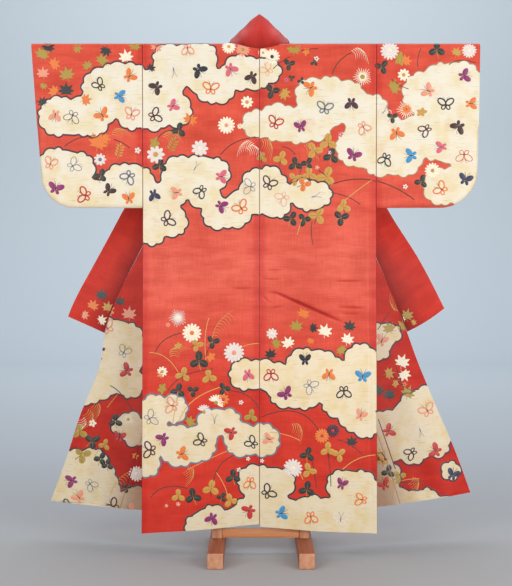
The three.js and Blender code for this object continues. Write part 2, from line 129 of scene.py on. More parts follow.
# ---- small helpers ----
def step(value, start, end):
    t = np.clip((np.asarray(value, float) - start) / (end - start), 0, 1)
    return t * t * (3 - 2 * t)


def mix(a, b, t):
    return a + (b - a) * t


def through(rows, columns, name, at):
    """Smooth curve through one column of a table, which never swings past a row's value."""
    xs = np.array([row[0] for row in rows], float)
    ys = np.array([row[columns.index(name)] for row in rows], float)
    rate = np.diff(ys) / np.diff(xs)
    slope = np.empty(len(xs))
    slope[0], slope[-1] = rate[0], rate[-1]
    before, after = rate[:-1], rate[1:]
    same = before * after > 0
    slope[1:-1] = np.where(same, 2 * before * after / np.where(same, before + after, 1), 0)
    at = np.asarray(at, float)
    i = np.clip(np.searchsorted(xs, at, side="left") - 1, 0, len(xs) - 2)
    span = xs[i + 1] - xs[i]
    t = np.clip((at - xs[i]) / span, 0, 1)
    return ((1 + 2 * t) * (1 - t) ** 2 * ys[i] + t * (1 - t) ** 2 * span * slope[i]
            + t * t * (3 - 2 * t) * ys[i + 1] + t * t * (t - 1) * span * slope[i + 1])


def seam_height(down):
    over = ROD_Z + ARM_RADIUS * np.cos(np.clip(down, 0, ARC) / ARM_RADIUS)
    return np.where(down < ARC, over, ROD_Z - (down - ARC))


def half_width(down):
    return mix(HALF_TOP, HALF_HEM, np.clip((down - SLEEVE_DROP) / (LENGTH - SLEEVE_DROP), 0, 1))


def neckline(out):
    return np.where(out < NECK_HALF, ARC * (1 - (out / NECK_HALF) ** 2), 0)


def front_width(down):
    return np.minimum(mix(COLLAR_START, FRONT_WIDTH, down / COLLAR_END), FRONT_WIDTH)


def unit(v):
    return v / np.linalg.norm(v, axis=-1, keepdims=True)


# ---- the outer faces, as on the solids ----
def back_surface(side, out, down):
    out, down = np.broadcast_arrays(np.asarray(out, float), np.asarray(down, float))
    across = out / HALF_TOP
    low = np.clip(down / LENGTH, 0, 1)
    turn = np.clip(down, 0, ARC) / ARM_RADIUS
    swell = np.sin(np.pi * np.clip(across, 0, 1)) ** 2 * np.sin(low * np.pi / 2) ** 2
    y = np.where(down < ARC, ARM_RADIUS - ARM_RADIUS * np.sin(turn), -BACK_BULGE * swell)
    z = seam_height(down) + np.where(down < ARC, 0, SLEEVES[side]["rise"] * (1 - across) * low ** 3)
    return np.stack([side * across * half_width(down), y, z], -1)


def front_path(side, down):
    hand = SIDE_NAME[side]
    value = lambda name: through(FRONT_ROWS, FRONT_COLUMNS, name, down)
    height = seam_height(down)
    over = down < ARC
    rod_y = ARM_RADIUS + ARM_RADIUS * np.sin(np.clip(down, 0, ARC) / ARM_RADIUS)
    seam = np.stack([half_width(down) - HALF_GAP, np.where(over, rod_y, value("side_depth")), height], -1)
    fold = np.stack([value("fold_out"), np.where(over, rod_y, value("fold_depth")),
                     height + value("fold_rise")], -1)
    edge = np.stack([value("edge_out_" + hand), value("edge_depth"), height + value("edge_rise_" + hand)], -1)
    inward, outward = fold - seam, edge - fold
    in_length, out_length = np.linalg.norm(inward, axis=-1), np.linalg.norm(outward, axis=-1)
    inward, outward = unit(inward), unit(outward)
    turn = np.arccos(np.clip((inward * outward).sum(-1), -1, 1))
    tangent = np.minimum(FOLD_RADIUS * np.tan(turn / 2), 0.45 * np.minimum(in_length, out_length))
    radius = tangent / np.tan(turn / 2)
    before, after = in_length - tangent, out_length - tangent
    across = unit(outward - inward * (outward * inward).sum(-1)[..., None])
    centre = seam + inward * before[..., None] + across * radius[..., None]
    return {"seam": seam, "edge": edge, "fold": fold, "inward": inward, "outward": outward,
            "across": across, "centre": centre, "radius": radius, "before": before,
            "round": radius * turn, "tangent": tangent, "total": before + radius * turn + after}


def front_surface(side, cloth, down):
    cloth, down = np.broadcast_arrays(np.asarray(cloth, float), np.asarray(down, float))
    p = front_path(side, down)
    length = cloth * p["total"] / front_width(down)
    angle = np.clip((length - p["before"]) / p["radius"], 0, p["round"] / p["radius"])
    rest = length - p["before"] - p["round"]
    flat = p["seam"] + p["inward"] * length[..., None]
    bent = (p["centre"] - p["across"] * (p["radius"] * np.cos(angle))[..., None]
            + p["inward"] * (p["radius"] * np.sin(angle))[..., None])
    wing = p["fold"] + p["outward"] * (p["tangent"] + rest)[..., None]
    point = np.where((length <= p["before"])[..., None], flat, np.where((rest < 0)[..., None], bent, wing))
    grown = np.clip((down - 600) / (LENGTH - 600), 0, 1)
    free = np.clip((cloth - 260) / 80, 0, 1)
    point = point.copy()
    point[..., 1] -= FLUTE * grown * free * np.sin(2 * np.pi * (cloth - 300) / FLUTE_WIDTH)
    point[..., 0] *= side
    return point


def sleeve_edge_out(side, z):
    form = SLEEVES[side]
    top = ROD_Z + ARM_RADIUS
    return form["top"] - form["lean"] / (SLEEVE_DROP - form["corner"]) * (top - z)


def sleeve_inside(side, out, z):
    """Distance from a sleeve's closed outline, and 9 mm or more where it is open."""
    bottom = ROD_Z + ARM_RADIUS - SLEEVE_DROP
    corner = SLEEVES[side]["corner"]
    middle_z = bottom + corner
    middle_out = sleeve_edge_out(side, middle_z) - corner
    below, beside = z - bottom, sleeve_edge_out(side, z) - out
    rounded = corner - np.hypot(out - middle_out, z - middle_z)
    wrist_z = ROD_Z + ARM_RADIUS - WRIST
    beside = beside + 30 * step(z, wrist_z - 30, wrist_z)
    near = np.minimum(below, beside)
    return np.where((out > middle_out) & (z < middle_z), rounded, near)


def sleeve_surface(side, out, down):
    """down is positive on the back layer and negative on the front layer."""
    out, down = np.broadcast_arrays(np.asarray(out, float), np.asarray(down, float))
    length = np.abs(down)
    turn = np.clip(length, 0, ARC) / ARM_RADIUS
    z = np.where(length < ARC, ROD_Z + ARM_RADIUS * np.cos(turn), ROD_Z - (length - ARC))
    y_back = np.where(length < ARC, ARM_RADIUS - ARM_RADIUS * np.sin(turn), 0)
    slope = np.clip((length - ARC) / (SLEEVE_END - ARC - 7), 0, 1)
    y_front = np.where(length < ARC, ARM_RADIUS + ARM_RADIUS * np.sin(turn), mix(2 * ARM_RADIUS, 14, slope))
    y = np.where(down >= 0, y_back, y_front)
    pinch = np.sin(np.pi / 2 * np.clip(sleeve_inside(side, out, z) / 9, 0, 1))
    y = np.where(length < ARC, y, 7 + (y - 7) * pinch)
    return np.stack([side * out, y, z], -1)


def collar_surface(along, up):
    """along runs from the left end through the centre back; up is 0 at the seam and 1 at the edge."""
    along, up = np.broadcast_arrays(np.asarray(along, float), np.asarray(up, float))
    length = np.abs(along)
    side = np.where(along < 0, LEFT, RIGHT)
    out = NECK_HALF * np.clip(length, 0, NECK_ALONG) / NECK_ALONG
    neck = back_surface(RIGHT, out, neckline(out))
    down = np.clip(length - NECK_ALONG, 0, None)
    edge = np.where((side > 0)[..., None], front_path(RIGHT, down)["edge"], front_path(LEFT, down)["edge"])
    neck[..., 0] = out
    seam = np.where((length < NECK_ALONG)[..., None], neck, edge)
    value = lambda name: through(COLLAR_ROWS, COLLAR_COLUMNS, name, length)
    lead = unit(np.stack([value("lead_out"), value("lead_depth"), value("lead_rise")], -1))
    reach_left = np.stack([value("reach_out"), value("reach_depth"), value("reach_rise")], -1)
    reach_right = np.stack([value("right_out"), value("right_depth"), value("right_rise")], -1)
    reach = np.where((side > 0)[..., None], reach_right, reach_left)
    seam = seam + lead * (2 * HALF_GAP)
    bend = seam + lead * (np.linalg.norm(reach, axis=-1) / 2)[..., None]
    t = up[..., None]
    point = seam * (1 - t) ** 2 + bend * (2 * t * (1 - t)) + (seam + reach) * t * t
    point[..., 0] *= side
    return point


def normals(surface, a, b, da=0.4, db=0.4):
    """Unit cross product of the two directions of a surface."""
    first = surface(a + da, b) - surface(a - da, b)
    second = surface(a, b + db) - surface(a, b - db)
    return unit(np.cross(first, second))


# ---- the drawing grid of the pattern ----
# The grid is the photo's own: its columns and rows are the pixel columns and rows of the 512 x 586
# photo, 3 mm each on the plane of the back. The places, turns and sizes of lobes, motifs, stems and
# creases in the tables below were read off the photo. The clouds' lobes follow the photo's
# cloud banks. The motifs' own shapes, the clouds' blended and scalloped edges and what lies on
# hidden sides come from the functions.
GRID = 3.0                       # millimetres a column or row
GRID_CENTRE = 259.5              # column of the centre back seam
GRID_SHOULDER = 41.0             # row of the shoulder ridge
PICTURE_MIDDLE = 256             # column in the middle of the picture
VIEW_DISTANCE = 3600.0           # from the back to the eye, for what hangs further back
VIEW_HEIGHT = 900.0
PLANE_TOP = ROD_Z + ARC          # height that matches "down" 0 on the plane of the back


def grid_mm(points):
    """Columns and rows as millimetres right of the centre seam and below the shoulder ridge."""
    points = np.asarray(points, float)
    return np.stack([(points[..., 0] - GRID_CENTRE) * GRID, (points[..., 1] - GRID_SHOULDER) * GRID], -1)


def on_view_plane(points):
    """Where the eye sees points of the garment on the plane of the back, as (across, down)."""
    nearer = VIEW_DISTANCE / (VIEW_DISTANCE + points[..., 1])
    z = VIEW_HEIGHT + (points[..., 2] - VIEW_HEIGHT) * nearer
    return np.stack([points[..., 0] * nearer, PLANE_TOP - z], -1)


def solve_cloth(surface, target, start, rounds=14):
    """The cloth place whose point the eye sees at a target on the plane of the back."""
    place = np.array(start, float)
    for _ in range(rounds):
        here = on_view_plane(surface(place[:, 0], place[:, 1])) - target
        da = (on_view_plane(surface(place[:, 0] + 1, place[:, 1])) - target - here)
        db = (on_view_plane(surface(place[:, 0], place[:, 1] + 1)) - target - here)
        det = da[:, 0] * db[:, 1] - da[:, 1] * db[:, 0]
        det = np.where(np.abs(det) < 0.05, 0.05, det)
        move_a = (-here[:, 0] * db[:, 1] + here[:, 1] * db[:, 0]) / det
        move_b = (-da[:, 0] * here[:, 1] + da[:, 1] * here[:, 0]) / det
        place[:, 0] += np.clip(move_a, -60, 60)
        place[:, 1] += np.clip(move_b, -60, 60)
    return place


# ---- cloud outlines ----
SCALLOP, SCALLOP_DEPTH = 36.0, 6.4      # length and swell of one small arc of the edge
LOBE_BLEND = 5.0                        # how softly neighbouring lobes run together
NET = 6.0                               # net on which a cloud's edge is found
SCALLOP_POINTS = 8
SCALLOP_BASE = 0.55                     # share of the swell by which the cusps lie inside the edge
SMALLEST = 1600                         # twice the area of the smallest island or hole that is kept
EDGE_STEP = 5                           # how far to either side the edge's direction is read


def lobe_field(lobes, points):
    """Below 0 inside the lobes, in millimetres, with rounded inner corners."""
    total = np.zeros(len(points))
    for x, y, r in lobes:
        away = np.hypot(points[:, 0] - x, points[:, 1] - y) - r
        total += np.exp(-np.clip(away, -90, 200) / LOBE_BLEND)
    return -LOBE_BLEND * np.log(total + 1e-12)


def edge_lines(lobes):
    """Closed lines along the edge of the blended lobes."""
    low = [min(l[k] - l[2] for l in lobes) - 4 * NET for k in (0, 1)]
    high = [max(l[k] + l[2] for l in lobes) + 4 * NET for k in (0, 1)]
    xs, ys = np.arange(low[0], high[0], NET), np.arange(low[1], high[1], NET)
    gx, gy = np.meshgrid(xs, ys, indexing="ij")
    field = lobe_field(lobes, np.stack([gx.ravel(), gy.ravel()], 1)).reshape(gx.shape)
    within = field < 0
    links, place = {}, {}

    def crossing(i, j, u, w):
        key = (i, j, u, w)
        if key not in place:
            t = field[i, j] / (field[i, j] - field[u, w])
            place[key] = (mix(xs[i], xs[u], t), mix(ys[j], ys[w], t))
        return key

    mixed = within[:-1, :-1] + 0 + within[1:, :-1] + within[:-1, 1:] + within[1:, 1:]
    for i, j in zip(*np.nonzero((mixed > 0) & (mixed < 4))):
        corners = [(i, j), (i + 1, j), (i + 1, j + 1), (i, j + 1)]
        cut = []
        for p, q in zip(corners, corners[1:] + corners[:1]):
            if within[p] != within[q]:
                cut.append(crossing(*min(p, q), *max(p, q)))
        for p, q in zip(cut[::2], cut[1::2]):
            links.setdefault(p, []).append(q)
            links.setdefault(q, []).append(p)
    lines, left = [], set(links)
    while left:
        line = [left.pop()]
        while True:
            ahead = [q for q in links[line[-1]] if q in left]
            if not ahead:
                break
            left.discard(ahead[0])
            line.append(ahead[0])
        lines.append(np.array([place[key] for key in line]))
    return lines


CLOUD_EDGES = {}


def cloud_loops(cloud):
    """Scalloped outlines of a cloud in millimetres over the back, (n, 2) arrays."""
    if cloud in CLOUD_EDGES:
        return CLOUD_EDGES[cloud]
    lobes = [(*grid_mm((x, y)), r * GRID) for x, y, r in cloud]
    outlines = []
    for line in edge_lines(lobes):
        x, y = line[:, 0], line[:, 1]
        if abs(np.dot(x, np.roll(y, -1)) - np.dot(y, np.roll(x, -1))) < SMALLEST:
            continue
        closed = np.concatenate([line, line[:1]])
        travelled = np.concatenate([[0], np.cumsum(np.linalg.norm(np.diff(closed, axis=0), axis=1))])
        whole = travelled[-1]
        count = max(4, round(whole / SCALLOP))
        cusps = (np.arange(count + 1) + 0.16 * np.sin(np.arange(count + 1) * 2.4)) * whole / count
        cusps[-1] = cusps[0] + whole
        points = []
        for start, end in zip(cusps[:-1], cusps[1:]):
            for f in np.linspace(0, 1, SCALLOP_POINTS, endpoint=False):
                at = (start + (end - start) * f) % whole
                here, near, back = ([np.interp((at + d) % whole, travelled, closed[:, k]) for k in (0, 1)]
                                    for d in (0, EDGE_STEP, -EDGE_STEP))
                way = unit(np.array(near) - np.array(back))
                swell = SCALLOP_DEPTH * (math.sin(math.pi * f) - SCALLOP_BASE)
                points.append((*here, way[1], -way[0], swell))
        points = np.array(points)
        place, out = points[:, :2], points[:, 2:4]
        grows = lobe_field(lobes, place + 4 * out) > lobe_field(lobes, place - 4 * out)
        out = np.where(grows[:, None], out, -out)
        outlines.append(place + out * points[:, 4:5])
    CLOUD_EDGES[cloud] = outlines
    return outlines


# Lobes of each cloud bank, read off the photo: column, row and radius, all in grid squares.
CLOUD_A = (
    (59, 117, 20), (80, 117, 19), (93, 120, 17.5), (103, 89.5, 20.7), (116, 81.5, 18), (130, 88, 24),
    (132, 104, 16), (109, 107, 15), (132, 118, 13), (159, 91, 22), (173, 108, 17), (177, 113, 15),
    (154, 117, 15), (169, 60, 16), (189, 59, 15), (203, 57.5, 14.5), (179, 75, 15), (199, 73.5, 17.5),
    (211, 86, 18), (221, 91, 13.6), (240, 73.5, 18), (256, 75, 16), (270, 72.5, 11.5),
)
CLOUD_B = (
    (57, 169, 20.7), (79, 169, 16.7), (60, 188, 24), (84, 195, 17.5), (109, 195, 17.5), (119, 179, 14.4),
    (130, 180, 16), (141, 180, 12.8), (157, 196, 13.6), (171.5, 196, 14.4), (179.5, 174, 18),
    (197, 172.5, 16.7), (214.5, 174, 16), (203, 191.5, 17.5), (157, 218.5, 16.7), (173, 222, 15),
    (152, 232, 14), (218, 214, 16), (235, 212, 16.7), (246.5, 201, 15), (256, 183.5, 14.4), (132, 200, 13),
    (142, 201, 11), (270, 178, 12), (277.5, 185.5, 11), (303.5, 193, 14.5), (319, 195, 13),
    (277.5, 205.5, 13), (265, 202.5, 13), (308, 199.5, 12),
)
CLOUD_C = (
    (256, 124.5, 14), (277.5, 123, 19), (297.5, 126, 18.4), (316, 126, 16), (311, 95, 16),
    (329.5, 95, 17.6), (348, 98.5, 16.8), (336, 110.5, 15.3), (372.5, 110.5, 15.3), (360, 121, 14.5),
    (355.5, 147.5, 20), (380, 158, 19), (403, 158, 19), (394, 135, 17), (418.5, 132, 17), (423, 94, 21.4),
    (441, 83, 19), (461, 81.5, 19), (464, 112, 30), (456.5, 143, 23), (434, 143, 18), (472, 158, 14),
    (441, 187, 18.4), (461, 185.5, 20),
)
CLOUD_D = (
    (245, 375, 16), (263, 375, 15.7), (277, 377, 14.3), (286, 391, 18), (304, 393, 17), (304, 366, 18),
    (322, 368, 18), (332.5, 371.5, 13.4), (313, 380, 19), (361, 360.5, 17), (352, 380.5, 18),
    (339.5, 400, 18.8), (357.5, 414, 19.6), (366.5, 425, 14.3), (376, 392, 17), (378, 368, 12),
)
CLOUD_E = (
    (154, 409, 14.3), (173.5, 409, 14.3), (148.5, 428.5, 18), (179, 446.5, 21), (198.5, 444.5, 18),
    (211, 423, 14.3), (227, 423, 14.3), (241.5, 441, 17), (263, 441, 17), (145, 452, 14), (147, 466, 12.5),
)
CLOUD_F = (
    (253, 482, 16), (263, 482, 15), (280.5, 484, 15), (272, 510.5, 19.6), (248.5, 514, 16),
    (213, 521.5, 16), (197, 527, 12.5), (230.5, 525, 14), (313, 510.5, 15), (298.5, 516, 16),
    (332.5, 514, 16), (341.5, 485.5, 15.2), (361, 489, 18), (370, 507, 18), (350, 510.5, 18),
    (255, 534, 16), (290, 534, 18), (325, 532, 18), (362, 528, 20), (232, 536, 14),
)
WING_LEFT = (
    (110, 332, 14), (126, 340, 18), (100, 336, 12), (122, 362, 20), (104, 372, 20), (130, 384, 15),
    (104, 386, 13), (135, 350, 12), (96, 392, 10), (86, 392, 14), (119, 426, 9), (131, 424, 12),
    (134, 436, 12), (74, 470, 20), (92, 466, 17), (102, 478, 14), (92, 494, 14), (112, 488, 8),
    (66, 496, 26), (88, 510, 20), (112, 508, 13), (134, 502, 15), (104, 520, 16), (130, 522, 18),
    (70, 520, 20),
)
WING_RIGHT = (
    (380, 336, 13), (392, 334, 10), (380, 350, 11), (376, 342, 10), (426, 398, 12), (412, 406, 13),
    (432, 410, 17), (384, 424, 13), (402, 424, 17), (424, 430, 22), (396, 444, 17), (414, 450, 16),
    (438, 446, 13), (380, 440, 13), (446, 432, 10), (452, 472, 10), (376, 478, 16), (388, 476, 14),
    (392, 498, 14), (410, 502, 11), (428, 500, 11), (444, 506, 9), (376, 506, 18), (460, 512, 10),
)
CHARCOAL, DARK_PURPLE, GREY_BLUE, SOFT = "charcoal", "dark_purple", "grey_blue", "soft"
BACK_CLOUDS = ((CLOUD_A, DARK_PURPLE), (CLOUD_B, CHARCOAL), (CLOUD_C, SOFT), (CLOUD_D, CHARCOAL),
               (CLOUD_E, GREY_BLUE), (CLOUD_F, CHARCOAL))


# ---- materials ----
def srgb(*rgb):
    """A colour given as 0 to 255, in the renderer's own linear numbers."""
    linear = [(c / 255 / 12.92 if c <= 10 else ((c / 255 + 0.055) / 1.055) ** 2.4) for c in rgb]
    return (*linear, 1.0)


SEAM_DARK, SEAM_SOFT = srgb(140, 104, 98), srgb(212, 186, 178)
# The second colour is painted shade, for the wings where they fold in behind the back panel.
PLAIN, WING_PAINTED_SHADE = srgb(255, 255, 255), srgb(190, 144, 134)
LIT = ((0.0, PLAIN), (1.0, PLAIN))      # across the cloth, in metres: no shade, a wing's, the collar's
WING_SHADE = ((0.16, PLAIN), (0.26, WING_PAINTED_SHADE), (0.43, PLAIN))
COLLAR_SHADE = ((0.012, srgb(196, 170, 166)), (0.075, PLAIN))
# Painted shade in the creases, shallow and deep.
CREASE_SHADE, CREASE_SHADE_DEEP = srgb(222, 168, 172), srgb(196, 120, 130)     # tone of a crease, shallow and deep
BESIDE = srgb(244, 210, 222)            # tone of the red silk beside a seam
WEAVE = (1500.0, 700.0, 1.0)            # threads of the ground, across and down
WEAVE_HEIGHT, LINE_HEIGHT = 0.0003, 0.0009


def new_material(name):
    """An empty material with its shader joined to the output."""
    material = bpy.data.materials.new(name)
    material.use_nodes = True
    nodes = material.node_tree.nodes
    nodes.clear()
    output = nodes.new("ShaderNodeOutputMaterial")
    shader = nodes.new("ShaderNodeBsdfPrincipled")
    material.node_tree.links.new(shader.outputs["BSDF"], output.inputs["Surface"])
    return material, material.node_tree, shader


def node(tree, kind, **settings):
    """A new node, with its own properties or else its inputs set."""
    made = tree.nodes.new(kind)
    for key, value in settings.items():
        if hasattr(made, key):
            setattr(made, key, value)
        else:
            made.inputs[key.replace("_", " ")].default_value = value
    return made


def noise(tree, vector, scale, detail=3.0):
    made = node(tree, "ShaderNodeTexNoise", Scale=scale, Detail=detail)
    tree.links.new(vector, made.inputs["Vector"])
    return made.outputs["Fac"]


def stretched(tree, source, scale):
    """Places scaled by an amount for each axis."""
    made = tree.nodes.new("ShaderNodeMapping")
    made.inputs["Scale"].default_value = scale
    tree.links.new(source, made.inputs["Vector"])
    return made.outputs["Vector"]


def ramp(tree, factor, stops):
    made = tree.nodes.new("ShaderNodeValToRGB")
    elements = made.color_ramp.elements
    while len(elements) > 1:
        elements.remove(elements[-1])
    for i, (position, colour) in enumerate(stops):
        element = elements[0] if i == 0 else elements.new(position)
        element.position, element.color = position, colour
    tree.links.new(factor, made.inputs["Fac"])
    return made.outputs["Color"]


def blend(tree, kind, factor, first, second):
    """Two colours blended; each value may be a socket."""
    made = tree.nodes.new("ShaderNodeMix")
    made.data_type, made.blend_type = "RGBA", kind
    for value, socket in ((factor, made.inputs[0]), (first, made.inputs[6]), (second, made.inputs[7])):
        if isinstance(value, bpy.types.NodeSocket):
            tree.links.new(value, socket)
        else:
            socket.default_value = value
    return made.outputs[2]


def scalar(tree, operation, first, second=None, third=None, clamp=False):
    """A sum on numbers; each value may be a socket."""
    made = tree.nodes.new("ShaderNodeMath")
    made.operation, made.use_clamp = operation, clamp
    for value, socket in zip((first, second, third), made.inputs):
        if value is None:
            continue
        if isinstance(value, bpy.types.NodeSocket):
            tree.links.new(value, socket)
        else:
            socket.default_value = value
    return made.outputs[0]


def bump(tree, height, distance, strength=1.0, below=None):
    made = tree.nodes.new("ShaderNodeBump")
    made.inputs["Strength"].default_value = strength
    made.inputs["Distance"].default_value = distance
    tree.links.new(height, made.inputs["Height"])
    if below is not None:
        tree.links.new(below, made.inputs["Normal"])
    return made.outputs["Normal"]


def cloth_places(tree):
    """Place in space and place on the cloth (in metres, across and down)."""
    space = tree.nodes.new("ShaderNodeTexCoord").outputs["Object"]
    cloth = tree.nodes.new("ShaderNodeUVMap")
    cloth.uv_map = "cloth"
    return space, cloth.outputs["UV"]


def shaded(tree, cloth, tone, thread_line, hidden, beside=PLAIN):
    """The thread line of a seam, and the deeper tone of the stretch that lies in the robe's shade."""
    place = node(tree, "ShaderNodeSeparateXYZ")
    tree.links.new(cloth, place.inputs[0])
    off = scalar(tree, "ABSOLUTE", scalar(tree, "SUBTRACT", place.outputs["X"], (HALF_TOP + 0.5) * MM))
    near = scalar(tree, "MINIMUM", off, scalar(tree, "ABSOLUTE", place.outputs["X"]))
    dark = ramp(tree, scalar(tree, "MULTIPLY", near, 30.0, clamp=True),
                ((0.024, thread_line), (0.051, beside), (0.28, beside), (0.72, PLAIN)))
    tone = blend(tree, "MULTIPLY", 1.0, tone, dark)
    # The hidden stops paint shade across the cloth: none, a wing's by its fold, the collar's by its seam.
    return blend(tree, "MULTIPLY", 1.0, tone, ramp(tree, place.outputs["X"], hidden))


def dapple(tree, tone, amount, factor, *stops):
    """A tone darkened, by an amount, with what the stops say along a factor."""
    return blend(tree, "MULTIPLY", amount, tone, ramp(tree, factor, stops))


def by_height(tree, space, fall, tones):
    """A tone that changes with height; its stops run from the robe's top down to the floor."""
    height = node(tree, "ShaderNodeSeparateXYZ")
    tree.links.new(space, height.inputs[0])
    return ramp(tree, scalar(tree, "MULTIPLY_ADD", height.outputs["Z"], -fall, 1.0, clamp=True), tones)


def woven(tree, cloth, lines, lines_strength, weave_strength):
    """Raised lines under the fine weave of the cloth."""
    weave = noise(tree, stretched(tree, cloth, WEAVE), 1.0, 1.0)
    return bump(tree, weave, WEAVE_HEIGHT, weave_strength, bump(tree, lines, LINE_HEIGHT, lines_strength))


def silk(name, tones, roughness, sheen, thread_line=SEAM_DARK, hidden=LIT):
    """Plain red satin: fine weft and warp streaks, faint blotches, and painted shade in the creases."""
    material, tree, shader = new_material(name)
    space, cloth = cloth_places(tree)
    tone = by_height(tree, space, 0.62, tones)
    blotch = noise(tree, space, 5.5, 4.0)
    tone = dapple(tree, tone, 0.6, blotch, (0.32, srgb(226, 196, 190)), (0.66, PLAIN))
    patch = noise(tree, stretched(tree, cloth, (9.0, 26.0, 1.0)), 1.0, 5.0)
    tone = dapple(tree, tone, 0.6, patch, (0.34, srgb(222, 182, 174)), (0.62, PLAIN))
    warp = noise(tree, stretched(tree, cloth, (260.0, 16.0, 1.0)), 1.0, 4.0)
    tone = dapple(tree, tone, 0.3, warp, (0.34, srgb(228, 200, 194)), (0.6, PLAIN))
    streak = noise(tree, stretched(tree, cloth, (18.0, 300.0, 1.0)), 1.0, 5.0)
    tone = dapple(tree, tone, 0.36, streak, (0.34, srgb(228, 202, 196)), (0.6, PLAIN))
    # Painted shade: the cloth darkens where a crease is deeper.
    crease_shade = node(tree, "ShaderNodeAttribute", attribute_name="crease_shade")
    depth = scalar(tree, "MULTIPLY", crease_shade.outputs["Fac"], 0.33, clamp=True)
    tone = dapple(tree, tone, 1.0, depth, (0.16, PLAIN), (0.6, CREASE_SHADE), (1.0, CREASE_SHADE_DEEP))
    normal = woven(tree, cloth, streak, 0.35, 0.35)
    tree.links.new(shaded(tree, cloth, tone, thread_line, hidden, BESIDE), shader.inputs["Base Color"])
    tree.links.new(normal, shader.inputs["Normal"])
    shader.inputs["Roughness"].default_value = roughness
    shader.inputs["Specular IOR Level"].default_value = 0.2
    shader.inputs["Sheen Weight"].default_value = sheen
    shader.inputs["Sheen Roughness"].default_value = 0.45
    return material


def cream_silk(name, tones, thread_line=SEAM_DARK, hidden=LIT):
    """The clouds' ground: cream with soft yellow and rose stains and fine cross cracks."""
    material, tree, shader = new_material(name)
    space, cloth = cloth_places(tree)
    tone = by_height(tree, space, 0.7, tones)
    stain = noise(tree, space, 24.0, 6.0)
    tone = dapple(tree, tone, 0.8, stain, (0.36, srgb(250, 240, 208)), (0.56, PLAIN))
    rose = noise(tree, stretched(tree, space, (1.3, 1.3, 1.3)), 11.0, 4.0)
    tone = dapple(tree, tone, 0.5, rose, (0.6, PLAIN), (0.78, srgb(250, 214, 196)))
    crack = noise(tree, stretched(tree, cloth, (24.0, 420.0, 1.0)), 1.0, 5.0)
    tone = dapple(tree, tone, 0.6, crack, (0.30, srgb(214, 196, 168)), (0.42, PLAIN))
    normal = woven(tree, cloth, crack, 0.5, 0.4)
    tree.links.new(shaded(tree, cloth, tone, thread_line, hidden), shader.inputs["Base Color"])
    tree.links.new(normal, shader.inputs["Normal"])
    shader.inputs["Roughness"].default_value = 0.6
    shader.inputs["Sheen Weight"].default_value = 0.15
    return material


def thread(name, colour):
    """Satin stitch: fine ridges across each motif part."""
    material, tree, shader = new_material(name)
    space, _ = cloth_places(tree)
    ridge = noise(tree, stretched(tree, space, (900.0, 900.0, 260.0)), 1.0, 2.0)
    tone = dapple(tree, colour, 0.5, ridge, (0.3, srgb(205, 198, 195)), (0.62, PLAIN))
    tree.links.new(tone, shader.inputs["Base Color"])
    tree.links.new(bump(tree, ridge, 0.0006, 0.5), shader.inputs["Normal"])
    shader.inputs["Roughness"].default_value = 0.42
    shader.inputs["Sheen Weight"].default_value = 0.2
    return material


RED = silk("red_silk", (
    (0.0, srgb(229, 90, 67)), (0.2, srgb(231, 93, 70)), (0.34, srgb(234, 99, 78)), (0.46, srgb(240, 113, 93)),
    (0.58, srgb(232, 93, 73)), (0.7, srgb(223, 67, 49)), (0.92, srgb(218, 61, 44)),
), 0.5, 0.06)
COLLAR_RED = silk("collar_silk", (
    (0.02, srgb(214, 64, 56)), (0.3, srgb(226, 58, 42)), (0.6, srgb(222, 58, 40)),
), 0.5, 0.06, SEAM_DARK, COLLAR_SHADE)
WING_RED = silk("wing_silk", (
    (0.3, srgb(228, 60, 42)), (0.6, srgb(214, 53, 37)), (0.9, srgb(206, 48, 34)),
), 0.5, 0.04, SEAM_SOFT, WING_SHADE)
LINING = silk("lining_silk", ((0.0, srgb(205, 82, 58)), (1.0, srgb(190, 70, 50))), 0.6, 0.1)
CREAM_TONES = ((0.08, srgb(232, 222, 201)), (0.6, srgb(233, 215, 183)), (0.92, srgb(218, 202, 171)))
CREAM = cream_silk("cream_silk", CREAM_TONES)
WING_CREAM = cream_silk("wing_cream_silk", CREAM_TONES, SEAM_SOFT, WING_SHADE)
THREAD_COLOURS = {
    "charcoal": (46, 44, 52), "dark_purple": (78, 34, 52), "grey_blue": (110, 116, 132),
    "soft": (170, 132, 104), "black": (34, 36, 44), "dark_brown": (66, 36, 30),
    "magenta": (144, 34, 104), "red": (196, 46, 44),
    "orange": (234, 124, 48), "salmon": (236, 154, 122), "pink": (222, 98, 118), "pale": (236, 222, 212),
    "cream": (248, 236, 208), "blue": (62, 146, 196), "navy": (44, 48, 82), "leaf": (38, 46, 42),
    "olive": (176, 146, 54), "ochre": (204, 154, 66), "gold": (222, 172, 92), "stem": (74, 42, 34),
}
THREADS = {silk_name: thread("thread_" + silk_name, srgb(*rgb)) for silk_name, rgb in THREAD_COLOURS.items()}


# ---- creases of the back, read off the photo ----
LIP, LIP_AT = 0.35, 2.1                 # ridge beside a crease: share of its depth, place in half widths
# points on the drawing grid, half width and depth in millimetres
CREASES = (
    (((266, 292), (277, 293), (306, 306), (345, 323)), 5.5, 3.4),
    (((261, 279), (282, 279.5)), 3.6, 1.7),
    (((334, 281), (363, 281)), 3.8, 1.9),
    (((230, 288.5), (253, 288.5)), 3.6, 1.6),
    (((336, 307), (366, 308)), 4.5, 2.1),
    (((341, 314), (360, 314)), 3.6, 1.5),
    (((266, 270), (284, 270)), 3.6, 1.5),
    (((268, 309), (285, 306)), 3.6, 1.6),
    (((262, 296), (271, 303)), 3.6, 1.6),
    (((150, 402), (196, 401)), 4, 1.3),
    (((270, 398), (318, 400)), 4, 1.2),
    (((368, 210), (370, 350), (372, 520)), 3, 0.9),
    (((146.5, 225), (147, 380), (146, 520)), 3, 0.7),
)


